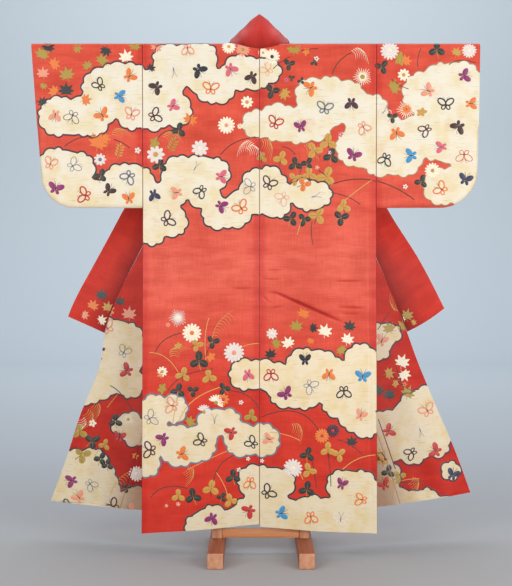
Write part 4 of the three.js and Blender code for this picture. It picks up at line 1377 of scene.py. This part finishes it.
COLLAR_MAPLES = {
    LEFT: (
        ("leaf", 102, 297, 0, .95), ("orange", 92.5, 307, 30, .9), ("ochre", 108, 309, 10, .9),
        ("cream", 101, 321, 60, .8), ("salmon", 84, 315, 100, .7),
    ),
    RIGHT: (("olive", 407, 317, 10, .95), ("cream", 402, 320, 40, .5), ("ochre", 413, 323, 60, .5)),
}
# kind, petals, heart, column, row, turn, size
FLOWERS = (
    ("mum", "cream", "ochre", 229, 48, 0, .72), ("mum", "salmon", "olive", 243, 51, 20, .72),
    ("mum", "cream", "ochre", 263, 54, 0, .5), ("mum", "cream", "dark_brown", 272, 58, 10, .8),
    ("daisy", "cream", "ochre", 247, 103, 0, 1.1), ("mum", "cream", "salmon", 226.5, 126, 5, .88),
    ("daisy", "cream", "salmon", 240, 127, 0, .5), ("mum", "pale", "cream", 389, 52, 0, .95),
    ("burst", "cream", "olive", 362, 78, 0, 1.1), ("daisy", "cream", "ochre", 403, 76, 0, 1.1),
    ("mum", "pale", "cream", 468, 52, 10, .75), ("burst", "cream", "orange", 406, 110, 0, 1.15),
    ("mum", "orange", "red", 406, 110, 0, .55), ("mum", "cream", "olive", 432, 171, 0, .8),
    ("burst", "pale", "cream", 178, 318, 0, 1.05), ("mum", "cream", "orange", 192, 333, 0, .98),
    ("mum", "pale", "salmon", 234, 353, 0, 1.05), ("daisy", "cream", "ochre", 162, 372, 0, .95),
    ("daisy", "pale", "cream", 272, 334, 0, 1.0), ("mum", "pale", "cream", 293, 469, 0, .98),
    ("daisy", "pale", "ochre", 156, 155, 0, 1.6), ("daisy", "pale", "cream", 200, 149, 0, 1.5),
    ("daisy", "pale", "grey_blue", 100.5, 160, 0, 1.1), ("blossom", "pale", "ochre", 138, 151, 0, 1.3),
    ("blossom", "pink", "pale", 340, 135, 0, 1.2), ("blossom", "salmon", "pale", 317, 168, 0, 1.0),
    ("blossom", "pale", "red", 239, 471, 0, 1.0), ("blossom", "pale", "leaf", 316, 60, 0, 1.1),
    ("blossom", "pale", "pink", 405, 187, 0, 1.1), ("blossom", "pink", "dark_purple", 286, 81, 0, 1.0),
    ("mum", "orange", "red", 322, 436, 0, .75), ("mum", "dark_purple", "red", 333, 431, 0, .7),
    ("daisy", "orange", "red", 223, 400, 0, 1.1), ("blossom", "pale", "ochre", 330, 153, 0, .9),
    ("blossom", "pale", "red", 241, 403, 0, 1.0), ("blossom", "salmon", "orange", 168, 325, 0, 1.0),
    ("blossom", "pale", "pink", 248, 460, 0, .9), ("blossom", "pale", "orange", 262, 462, 0, .9),
    ("blossom", "salmon", "pale", 178, 505, 0, 1.0), ("blossom", "salmon", "pale", 166, 507, 0, .8),
    ("blossom", "orange", "ochre", 160, 375, 0, 1.5),
)
# petals, heart, column, row, turn, size
HALF_FLOWERS = (
    ("cream", "olive", 216, 403, 300, .85), ("pale", "ochre", 204, 412, 300, .75),
)
WING_FLOWERS = {
    LEFT: (
        ("burst", "cream", "ochre", 128, 420, 0, .8), ("mum", "pale", "cream", 136, 475, 0, .8),
        ("blossom", "cream", "salmon", 92, 424, 0, 1.6), ("blossom", "orange", "red", 135, 457, 0, 1.4),
    ),
    RIGHT: (("blossom", "pale", "salmon", 396, 331, 0, 1.2), ("blossom", "orange", "red", 405, 385, 0, 1.1)),
}
# kind, silk, column, row, turn, size
LEAVES = (
    ("clover", "leaf", 179, 131, 15, 1.0), ("clover", "leaf", 160, 166, 10, 1.0),
    ("clover", "leaf", 101, 176, 20, .9), ("clover", "leaf", 289, 65.5, 70, .8),
    ("clover", "leaf", 272, 92, 200, 1.0), ("clover", "leaf", 381.5, 68, 40, .95),
    ("clover", "leaf", 436, 51, 0, 1.1), ("clover", "leaf", 392, 118, 60, .75),
    ("clover", "leaf", 421, 182, 20, .9), ("clover", "leaf", 295, 165, 355, .95),
    ("clover", "leaf", 307.5, 164, 30, .85), ("clover", "leaf", 331, 157, 15, 1.05),
    ("clover", "leaf", 291, 219, 30, 1.0), ("clover", "leaf", 304, 220, 320, .9),
    ("clover", "leaf", 341, 218, 70, 1.05), ("clover", "leaf", 213, 342, 75, .9),
    ("clover", "leaf", 199, 361, 0, 1.25), ("clover", "leaf", 178, 391, 15, 1.0),
    ("clover", "leaf", 193, 391, 60, .8), ("clover", "leaf", 224, 389, 330, .85),
    ("clover", "leaf", 307.5, 455, 15, 1.0), ("clover", "leaf", 307, 490, 10, 1.1),
    ("clover", "leaf", 233, 478, 0, 1.0), ("clover", "leaf", 193, 497, 350, 1.1),
    ("clover", "leaf", 222, 498, 30, .7), ("spray", "olive", 173, 146, 30, 1.0),
    ("spray", "ochre", 120, 152, 20, .95), ("lobed", "olive", 155, 144, 10, .95),
    ("lobed", "olive", 399, 60, 0, 1.0), ("lobed", "ochre", 421, 113, 70, .8),
    ("clover", "ochre", 328, 143, 0, 1.15), ("clover", "ochre", 314, 151, 330, 1.1),
    ("clover", "ochre", 281, 159, 20, 1.0), ("clover", "ochre", 326, 177, 140, 1.3),
    ("clover", "ochre", 295, 179, 70, .9), ("clover", "ochre", 309, 175, 0, 1.05),
    ("clover", "ochre", 317.5, 216, 30, 1.15), ("clover", "ochre", 343.5, 207, 0, .95),
    ("clover", "ochre", 183, 375, 15, 1.0), ("clover", "ochre", 209, 377, 350, 1.0),
    ("clover", "ochre", 197, 345, 80, .85), ("lobed", "ochre", 178, 346, 60, .6),
    ("lobed", "olive", 162, 389, 20, .8), ("clover", "olive", 251, 417, 10, .9),
    ("clover", "ochre", 328, 450, 0, 1.0), ("clover", "ochre", 339, 455, 50, .95),
    ("clover", "ochre", 309, 471, 100, 1.0), ("clover", "ochre", 211, 489, 10, 1.1),
    ("clover", "ochre", 178, 497, 0, .9), ("clover", "ochre", 230.5, 502, 340, .95),
    ("clover", "orange", 304, 185, 80, .9), ("lobed", "orange", 211, 357, 40, .75),
    ("clover", "olive", 262, 158, 15, .7), ("clover", "leaf", 301, 82, 20, .5),
    ("clover", "leaf", 291.5, 79, 65, .45), ("clover", "leaf", 314, 64, 10, .5),
    ("lobed", "orange", 306, 53, 30, .6),
)
WING_LEAVES = {
    LEFT: (
        ("clover", "leaf", 115, 422, 0, .95), ("clover", "leaf", 92, 442, 60, 1.05),
        ("clover", "leaf", 100, 460, 30, .9), ("clover", "leaf", 107, 466, 10, .8),
        ("clover", "olive", 79, 433, 0, 1.05), ("clover", "olive", 82, 456, 70, 1.1),
        ("clover", "ochre", 104, 446, 20, .8), ("clover", "leaf", 126, 489, 70, .7),
    ),
    RIGHT: (
        ("lobed", "ochre", 396, 384, 20, .6), ("clover", "leaf", 389, 473, 10, .9),
        ("clover", "olive", 400, 478, 70, .9), ("clover", "ochre", 383, 462, 0, .7),
    ),
}
# silk, width in millimetres, three points on the grid
STEMS = (
    ("stem", 2.6, (65, 147), (78, 136), (96, 136.5)), ("stem", 2.6, (114, 140), (124, 143), (130, 148.5)),
    ("stem", 2.4, (157, 142), (161, 131), (173, 131)), ("stem", 2.6, (221, 155), (234, 138), (259, 138)),
    ("stem", 2.6, (332, 75), (337, 60), (351, 54)), ("stem", 2.8, (328, 186), (372, 168), (414, 200)),
    ("gold", 2.2, (338, 207), (350, 195), (372, 180)), ("stem", 2.2, (331, 193), (350, 196), (360, 205)),
    ("stem", 2.2, (282, 147), (290, 148), (295, 155)), ("stem", 2.4, (155, 353), (160, 338), (181, 333)),
    ("gold", 2.0, (206, 360), (203, 335), (209, 318)), ("stem", 2.2, (168, 391), (178, 372), (213, 369)),
    ("gold", 2.4, (179, 423), (185, 398), (220, 387.5)), ("gold", 2.0, (172, 426), (176, 405), (178, 392)),
    ("stem", 2.6, (229, 391), (250, 392), (259, 409)), ("stem", 2.8, (261, 418), (303, 399), (321, 434)),
    ("gold", 2.2, (343, 470), (356, 457), (376, 456)), ("stem", 2.8, (150, 499), (162, 482), (187, 489)),
    ("stem", 2.4, (213, 484), (216, 462), (235, 456)), ("gold", 2.0, (228, 500), (226, 486), (216, 473)),
    ("stem", 2.2, (317, 488), (314, 470), (311, 455)), ("stem", 2.2, (331, 487), (331, 470), (328, 455)),
    ("gold", 2.2, (303, 480), (298, 470), (296, 460)), ("stem", 2.0, (294, 186), (300, 176), (303, 163)),
    ("stem", 2.0, (323, 162), (328, 150), (333, 148)), ("gold", 2.0, (297, 235), (300, 225), (302, 218)),
    ("stem", 2.2, (313, 245), (310, 232), (312, 222)), ("stem", 2.2, (300, 52), (310, 50), (318, 50)),
    ("stem", 2.2, (417, 68), (416, 58), (420, 50)), ("gold", 2.0, (234, 353), (245, 343), (260, 344)),
    ("stem", 2.0, (391, 80), (398, 87), (408, 90)), ("stem", 2.4, (448, 66), (458, 58), (474, 64)),
    ("gold", 2.0, (149, 353), (166, 352), (178, 372)), ("stem", 2.0, (205, 358), (208, 348), (213, 342)),
    ("gold", 2.0, (270, 433), (287, 434), (300, 441)), ("stem", 2.2, (338, 440), (352, 444), (364, 456)),
    ("gold", 1.8, (188, 470), (210, 458), (232, 450)), ("stem", 2.0, (273, 70), (281, 62), (290, 58)),
)
WING_STEMS = {
    LEFT: (
        ("stem", 2.6, (110, 386), (122, 392), (131, 410)), ("stem", 2.2, (98, 447), (104, 452), (109, 462)),
        ("gold", 1.8, (93, 460), (97, 450), (104, 444)), ("gold", 1.8, (107, 408), (113, 400), (118, 394)),
    ),
    RIGHT: (
        ("stem", 2.6, (393, 372), (399, 388), (416, 392)),
        ("stem", 2.2, (378, 330), (384, 320), (390, 312)),
        ("stem", 2.4, (379, 420), (388, 446), (396, 470)),
        ("gold", 1.8, (384, 492), (396, 480), (420, 480)),
        ("stem", 2.4, (396, 484), (408, 484), (426, 482)),
        ("stem", 2.0, (397, 367), (399, 376), (404, 388)),
    ),
}
# kind, silk, column, row, turn, hand
GRASSES = (
    ("pampas", "cream", 246, 148, 0, 1), ("pampas", "cream", 254, 144, 0, -1),
    ("pampas", "gold", 163, 137, -20, 1), ("pampas", "cream", 351, 52, 0, 1),
    ("plume", "gold", 210, 326, -6, 1), ("pampas", "gold", 170, 357, -60, 1),
    ("pampas", "gold", 292, 424, 30, 1), ("pampas", "gold", 112, 135, -30, 1),
    ("pampas", "gold", 262, 140, 30, 1), ("pampas", "gold", 188, 466, 60, 1),
    ("pampas", "gold", 304, 146, 10, 1),
)
WING_GRASSES = {
    LEFT: (
        ("pampas", "gold", 88, 410, 70, 1), ("pampas", "gold", 94, 402, 60, 1),
        ("plume", "gold", 113, 478, 10, 1), ("pampas", "cream", 84, 418, 100, 1),
    ),
    RIGHT: (
        ("pampas", "gold", 385, 480, 30, 1), ("pampas", "gold", 402, 310, 200, 1),
        ("pampas", "gold", 414, 478, 60, 1),
    ),
}


def couched_edges(s, clouds):
    """The dark cord laid along each cloud's edge."""
    s.place(0, 0, 0)
    for lobes, colour in clouds:
        for loop in cloud_loops(lobes):
            width, lift = (2.8, 0.7) if colour == SOFT else (4.8, 1.2)
            s.ribbon(loop, width, colour, lift, closed=True)


LEAF_KINDS = {"clover": clover, "lobed": lobed_leaf, "spray": spray}
FLOWER_KINDS = {"mum": chrysanthemum, "burst": burst, "daisy": daisy, "blossom": blossom}
GRASS_KINDS = {"pampas": pampas, "plume": plume}


def sew(clouds, butterflies, maples, flowers, halves, leaves, stems, grasses):
    """All that is embroidered on one drawing, from its tables."""
    s = Stitches()
    couched_edges(s, clouds)
    for colour, width, *points in stems:
        s.place(0, 0, 0)
        s.ribbon(arc(*(grid_mm(p) for p in points), count=22), width, colour)
    for kind, colour, x, y, turn, hand in grasses:
        GRASS_KINDS[kind](s.on_grid(x, y, turn), colour, hand=hand)
    for kind, colour, x, y, turn, size in leaves:
        LEAF_KINDS[kind](s.on_grid(x, y, turn, size), colour)
    for colour, x, y, turn, size in maples:
        maple(s.on_grid(x, y, turn, size), colour)
    for kind, petals, heart, x, y, turn, size in flowers:
        FLOWER_KINDS[kind](s.on_grid(x, y, turn, size), petals, heart)
    for petals, heart, x, y, turn, size in halves:
        chrysanthemum(s.on_grid(x, y, turn, size), petals, heart, 9, sweep=180)
    for style, colour, x, y, turn in butterflies:
        squeeze = 0.86 + 0.14 * math.sin(x * 1.7 + y)
        butterfly(s.on_grid(x, y, turn, 1.04, squeeze), style, colour)
    return s


def limits(panel, a, b):
    """Cloth places held inside a panel, a little away from its edges."""
    name, keep = panel.name, 1.6
    if name.startswith("back"):
        low_a, high_a = HALF_GAP + keep, HALF_TOP - keep
        low_b, high_b = neckline(np.clip(a, 0, NECK_HALF)) + keep, LENGTH - keep
    elif name.startswith("front"):
        low_a, high_a = keep, np.minimum(front_width(b), PANEL) - keep
        low_b, high_b = keep, LENGTH - keep
    elif name.startswith("okumi"):
        low_a, high_a = PANEL + keep, np.maximum(front_width(b) - keep, PANEL + keep)
        low_b, high_b = OKUMI_START + 6, LENGTH - keep
    elif name.startswith("collar"):
        low_a, high_a, low_b, high_b = 2 * keep, COLLAR_WIDE - 2 * keep, NECK_ALONG, COLLAR_HALF - 2 * keep
    else:
        z = ROD_Z + ARC - np.abs(b)
        low_a, high_a = HALF_TOP + 2 * keep, sleeve_edge_out(panel.side, z) - keep
        low_b, high_b = (keep, SLEEVE_END - 3) if np.mean(b) > 0 else (3 - SLEEVE_END, -keep)
    return np.clip(a, low_a, high_a), np.clip(b, low_b, high_b)


def lay_on(panel, s, convert, name):
    """The stitches that lie on a panel, as one raised mesh."""
    chart = np.concatenate(s.points)
    cloth = convert(chart)
    a, b = limits(panel, cloth[:, 0], cloth[:, 1])
    held = (np.abs(a - cloth[:, 0]) + np.abs(b - cloth[:, 1])) > 1e-6
    if panel.name.startswith("sleeve"):
        z = ROD_Z + ARC - np.abs(b)
        held |= sleeve_inside(panel.side, a, z) < 2
    keep = [i for i, face in enumerate(s.faces) if not all(held[k] for k in face)]
    if not keep:
        return None
    faces = [s.faces[i] for i in keep]
    flat = np.array([k for face in faces for k in face])
    used, renumbered = np.unique(flat, return_inverse=True)
    places = np.stack([a, b], 1)[used]
    points = panel.lifted(places, np.concatenate(s.lifts)[used])
    ends = np.cumsum([len(face) for face in faces])[:-1]
    faces = [tuple(int(v) for v in part) for part in np.split(renumbered.ravel(), ends)]
    out = -panel.side * normals(panel.surface, places[:, 0], places[:, 1])
    turned = []
    for face in faces:
        p, q, r = points[face[0]], points[face[1]], points[face[2]]
        turned.append(face if np.dot(np.cross(q - p, r - p), out[face[0]]) >= 0 else face[::-1])
    colours = [s.colours[i] for i in keep]
    shown = sorted(set(colours))
    made = add_object(name, in_frame(points), turned, [THREADS[c] for c in shown],
                      [shown.index(c) for c in colours], places * MM)
    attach(made, "root")
    return made


def upper(rows, column, limit=230):
    """The table rows whose place lies on the upper part of the back."""
    return tuple(row for row in rows if row[column] < limit)


BACK_SET = sew(BACK_CLOUDS, BUTTERFLIES, MAPLES, FLOWERS, HALF_FLOWERS, LEAVES, STEMS, GRASSES)
UPPER_SET = sew(BACK_CLOUDS[:3], upper(BUTTERFLIES, 3), upper(MAPLES, 2), upper(FLOWERS, 4), (),
                upper(LEAVES, 3), (), ())
WING_SETS = {side: sew(WING_CLOUDS[side], WING_BUTTERFLIES[side], WING_MAPLES[side], WING_FLOWERS[side], (),
                       WING_LEAVES[side], WING_STEMS[side], WING_GRASSES[side]) for side in (LEFT, RIGHT)}
for name, panel in PANELS.items():
    if name.startswith(("front", "okumi")):
        lay_on(panel, WING_SETS[panel.side], panel.to_cloth, name + "_embroidery")
        lay_on(panel, UPPER_SET, panel.hidden, name + "_upper_embroidery")
    else:
        lay_on(panel, BACK_SET, panel.to_cloth, name + "_embroidery")
    if name.startswith("sleeve"):
        lay_on(panel, BACK_SET, panel.maps[1], name + "_front_embroidery")


# ---- collar ----
NECK_STRETCH = 96                       # half length of the stretch with closer rows, round the neck


def collar_swell(across):
    """Height of the shell's outer face over collar_surface; across is 0 at the seam, 1 at the edge."""
    return 2.0 + 0.9 * np.sin(np.pi * np.clip(across, 0, 1)) ** 0.25


def collar_shell():
    """The whole band as one closed shell, with closer rows round the neck."""
    alongs = np.unique(np.concatenate([
        np.linspace(-COLLAR_HALF, -NECK_STRETCH, 110), np.linspace(-NECK_STRETCH, NECK_STRETCH, 49),
        np.linspace(NECK_STRETCH, COLLAR_HALF, 110)]))
    ups = np.linspace(0, 1, 17)
    a, b = np.meshgrid(alongs, ups, indexing="ij")
    flat_a, flat_b = a.ravel(), b.ravel()
    face = collar_surface(flat_a, flat_b)
    out = normals(collar_surface, flat_a, np.clip(flat_b, 0.01, 0.99), 1.0, 0.008)
    outer = face + out * collar_swell(flat_b)[:, None]
    inner = face + out * 0.2
    count, wide = len(alongs), len(ups)
    end, top, n = count - 1, wide - 1, count * wide
    faces, at = [], lambda i, j, k: k * n + i * wide + j
    for i in range(end):
        for j in range(top):
            faces.append((at(i, j, 0), at(i + 1, j, 0), at(i + 1, j + 1, 0), at(i, j + 1, 0)))
            faces.append((at(i, j, 1), at(i, j + 1, 1), at(i + 1, j + 1, 1), at(i + 1, j, 1)))
        faces.append((at(i, 0, 0), at(i, 0, 1), at(i + 1, 0, 1), at(i + 1, 0, 0)))
        faces.append((at(i, top, 0), at(i + 1, top, 0), at(i + 1, top, 1), at(i, top, 1)))
    for j in range(top):
        faces.append((at(0, j, 0), at(0, j + 1, 0), at(0, j + 1, 1), at(0, j, 1)))
        faces.append((at(end, j, 0), at(end, j, 1), at(end, j + 1, 1), at(end, j + 1, 0)))
    uvs = np.stack([0.01 + flat_b * COLLAR_WIDE * MM, flat_a * MM], 1)
    made = add_object("collar_cloth", in_frame(np.concatenate([outer, inner])), faces, [COLLAR_RED], None,
                      np.concatenate([uvs, uvs]), sharp=50)
    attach(made, "root")
    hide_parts("collar")
    return made


def collar_panel(side):
    """One half of the collar's outer face, across (from the seam) and along (from the neck)."""
    surface = lambda hand, a, b: collar_surface(hand * np.asarray(b), np.asarray(a) / COLLAR_WIDE)

    def to_cloth(chart):
        start = np.tile([COLLAR_WIDE / 2, 0.85 * COLLAR_HALF], (len(chart), 1))
        return solve_cloth(lambda a, b: surface(side, a, b), chart, start)

    over = lambda panel, cloth: collar_swell(cloth[:, 0] / COLLAR_WIDE)
    return Panel("collar_" + SIDE_NAME[side], side, surface, None, to_cloth, None, relief=over)


COLLAR = collar_shell()
for side in (LEFT, RIGHT):
    leaves = sew((), (), COLLAR_MAPLES[side], (), (), (), (), ())
    panel = collar_panel(side)
    lay_on(panel, leaves, panel.to_cloth, panel.name + "_embroidery")


# ---- stand ----
def along_grain(tree, space, axis, across, along, detail):
    """Noise that is drawn out along one axis."""
    scale = [across] * 3
    scale[axis] = along
    return noise(tree, stretched(tree, space, scale), 1.0, detail)


def wood(name, light, dark, axis):
    """Plain softwood with its grain along one axis."""
    material, tree, shader = new_material(name)
    space, _ = cloth_places(tree)
    grain = along_grain(tree, space, axis, 60.0, 3.5, 6.0)
    fibre = along_grain(tree, space, axis, 420.0, 14.0, 3.0)
    tone = ramp(tree, grain, ((0.3, dark), (0.66, light)))
    tone = dapple(tree, tone, 0.45, fibre, (0.3, srgb(205, 190, 180)), (0.6, PLAIN))
    tree.links.new(tone, shader.inputs["Base Color"])
    tree.links.new(bump(tree, fibre, 0.0008, 0.4), shader.inputs["Normal"])
    shader.inputs["Roughness"].default_value = 0.55
    return material


WOOD_X = wood("wood_along_x", srgb(206, 142, 94), srgb(177, 110, 67), 0)
# The feet's wood is darker than the rest of the stand: painted shade from the robe above them.
WOOD_Y_PAINTED_SHADE = wood("wood_along_y_painted_shade", srgb(168, 92, 54), srgb(142, 70, 40), 1)
WOOD_END = wood("wood_end", srgb(210, 152, 116), srgb(186, 124, 92), 1)
WOOD_Z = wood("wood_along_z", srgb(200, 148, 112), srgb(170, 114, 82), 2)


def rounded_block(cad, material, bevel):
    """A foot or the rail as its solid's block with eased edges; a foot's ends show end grain, lighter than
    its sides and top, which carry painted shade.
    """
    low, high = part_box(cad)
    mesh = bpy.data.meshes.new(cad + "_wood")
    form = bmesh.new()
    bmesh.ops.create_cube(form, size=1.0)
    for v in form.verts:
        v.co = Vector([mix(low[k], high[k], v.co[k] + 0.5) for k in range(3)])
    bmesh.ops.bevel(form, geom=form.edges[:], offset=bevel, segments=3, affect="EDGES", profile=0.6)
    form.to_mesh(mesh)
    form.free()
    mesh.materials.append(material)
    mesh.materials.append(WOOD_END)
    for face in mesh.polygons:
        face.material_index = int(abs(face.normal.y) > 0.7 and cad.startswith("foot"))
    mesh.uv_layers.new(name="cloth")
    mesh.shade_smooth()
    mesh.set_sharp_from_angle(angle=math.radians(40))
    made = bpy.data.objects.new(cad + "_wood", mesh)
    bpy.context.scene.collection.objects.link(made)
    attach(made, "root")
    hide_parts(cad)
    return made


# The feet take the darker wood with painted shade.
for cad, material, bevel in (("foot_left", WOOD_Y_PAINTED_SHADE, 0.004), ("foot_right", WOOD_Y_PAINTED_SHADE, 0.004),
                             ("lower_rail", WOOD_X, 0.0015)):
    rounded_block(cad, material, bevel)


def rod_wood():
    """The round rod with eased ends."""
    low, high = ROD_BOX
    radius, middle, ease = (high.z - low.z) / 2, (low + high) / 2, 0.0015
    rings = [(low.x, radius - ease), (low.x + ease, radius)]
    rings += [(x, radius) for x in np.linspace(low.x + 0.02, high.x - 0.02, 24)]
    rings += [(high.x - ease, radius), (high.x, radius - ease)]
    around = 40
    vertices, faces = [], []
    for x, r in rings:
        vertices += [(x, middle.y + r * math.cos(t), middle.z + r * math.sin(t))
                     for t in np.linspace(0, math.tau, around, endpoint=False)]
    for i in range(len(rings) - 1):
        for j in range(around):
            k = (j + 1) % around
            faces.append((i * around + j, i * around + k, (i + 1) * around + k, (i + 1) * around + j))
    faces.append(tuple(range(around))[::-1])
    faces.append(tuple((len(rings) - 1) * around + j for j in range(around)))
    made = add_object("rod_wood", vertices, [f[::-1] for f in faces], [WOOD_X], sharp=35)
    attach(made, "root")
    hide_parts("rod")
    return made


rod_wood()
for cad in ("post_left", "post_right"):
    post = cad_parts[cad]
    post.data.materials.clear()
    post.data.materials.append(WOOD_Z)


# ---- floor, backdrop, light and camera ----
def backdrop():
    """A pale floor that sweeps up into a wall far behind the robe."""
    wide, front, back, bend, high = 12.0, -9.0, 6.3, 2.2, 9.0
    profile = [(front, 0.0)] + [(y, 0.0) for y in np.linspace(front + 1, back, 6)]
    turns = np.linspace(0, math.pi / 2, 24)[1:]
    profile += [(back + bend * math.sin(t), bend * (1 - math.cos(t))) for t in turns]
    profile += [(back + bend, high)]
    vertices = [(x, y, z) for y, z in profile for x in (-wide, wide)]
    faces = [(2 * i, 2 * i + 1, 2 * i + 3, 2 * i + 2) for i in range(len(profile) - 1)]
    material, tree, shader = new_material("studio_floor")
    place = node(tree, "ShaderNodeSeparateXYZ")
    tree.links.new(tree.nodes.new("ShaderNodeTexCoord").outputs["Object"], place.inputs[0])
    # Painted light and shade: the sweep is grey on the floor in front and under the robe, and grows paler and
    # bluer further back and higher up the wall.
    away = scalar(tree, "MULTIPLY_ADD", place.outputs["Y"], 0.06, 0.0, clamp=True)
    height = scalar(tree, "MULTIPLY_ADD", place.outputs["Z"], 0.15, away, clamp=True)
    tone = ramp(tree, height, (
        (0.0, srgb(172, 172, 172)), (0.1, srgb(180, 184, 189)), (0.38, srgb(189, 197, 203)),
        (0.6, srgb(191, 200, 206)), (1.0, srgb(191, 200, 205))))
    tree.links.new(tone, shader.inputs["Base Color"])
    shader.inputs["Roughness"].default_value = 0.9
    shader.inputs["Specular IOR Level"].default_value = 0.1
    floor = add_object("studio_floor", vertices, faces, [material])


# name, place, aim, size, power, colour
LIGHTS = (
    ("soft_front_left", (-2.7, -3.4, 1.7), (0, 0, 0.75), (2.6, 2.8), 95, (1, 0.985, 0.96)),
    ("soft_front_right", (2.9, -3.3, 1.5), (0, 0, 0.75), (2.6, 2.8), 121, (1, 0.985, 0.965)),
    ("soft_top", (0, 1.8, 4.6), (0, 2.2, 0), (5.0, 4.2), 120, (0.97, 0.985, 1)),
    ("soft_back", (0, 4.6, 5.0), (0, 8.5, 2.0), (6.0, 2.0), 170, (0.97, 0.985, 1)),
)
LENS, CAMERA_TILT = 73.7, 1.77          # millimetres on a 36 mm wide picture, and degrees down


def area_light(name, place, aim, size, power, colour):
    """A soft rectangular lamp that looks at a point."""
    light = bpy.data.lights.new(name, "AREA")
    light.shape, light.size, light.size_y = "RECTANGLE", *size
    light.energy, light.color = power, colour
    made = bpy.data.objects.new(name, light)
    made.location = place
    made.rotation_euler = (Vector(aim) - Vector(place)).to_track_quat("-Z", "Y").to_euler()
    bpy.context.scene.collection.objects.link(made)


backdrop()
for light in LIGHTS:
    area_light(*light)
world = bpy.data.worlds.new("studio")
world.use_nodes = True
world.node_tree.nodes["Background"].inputs["Color"].default_value = srgb(212, 220, 230)
world.node_tree.nodes["Background"].inputs["Strength"].default_value = 0.55
bpy.context.scene.world = world
bpy.context.scene.view_settings.view_transform = "Standard"

camera_data = bpy.data.cameras.new("camera")
camera_data.sensor_width = 36.0
camera_data.lens = LENS
camera_data.clip_end = 60
camera = bpy.data.objects.new("camera", camera_data)
camera.location = ORIGIN + np.array([0, -VIEW_DISTANCE, VIEW_HEIGHT]) * MM
camera.rotation_euler = (math.radians(90 - CAMERA_TILT), 0, 0)
camera.location.x += (PICTURE_MIDDLE - GRID_CENTRE) * GRID * MM
bpy.context.scene.collection.objects.link(camera)
bpy.context.scene.camera = camera

for name, panel in PANELS.items():
    made = SHELLS[name]
    if name.startswith(("back", "front")):
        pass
    elif name.startswith("okumi"):
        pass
    else:
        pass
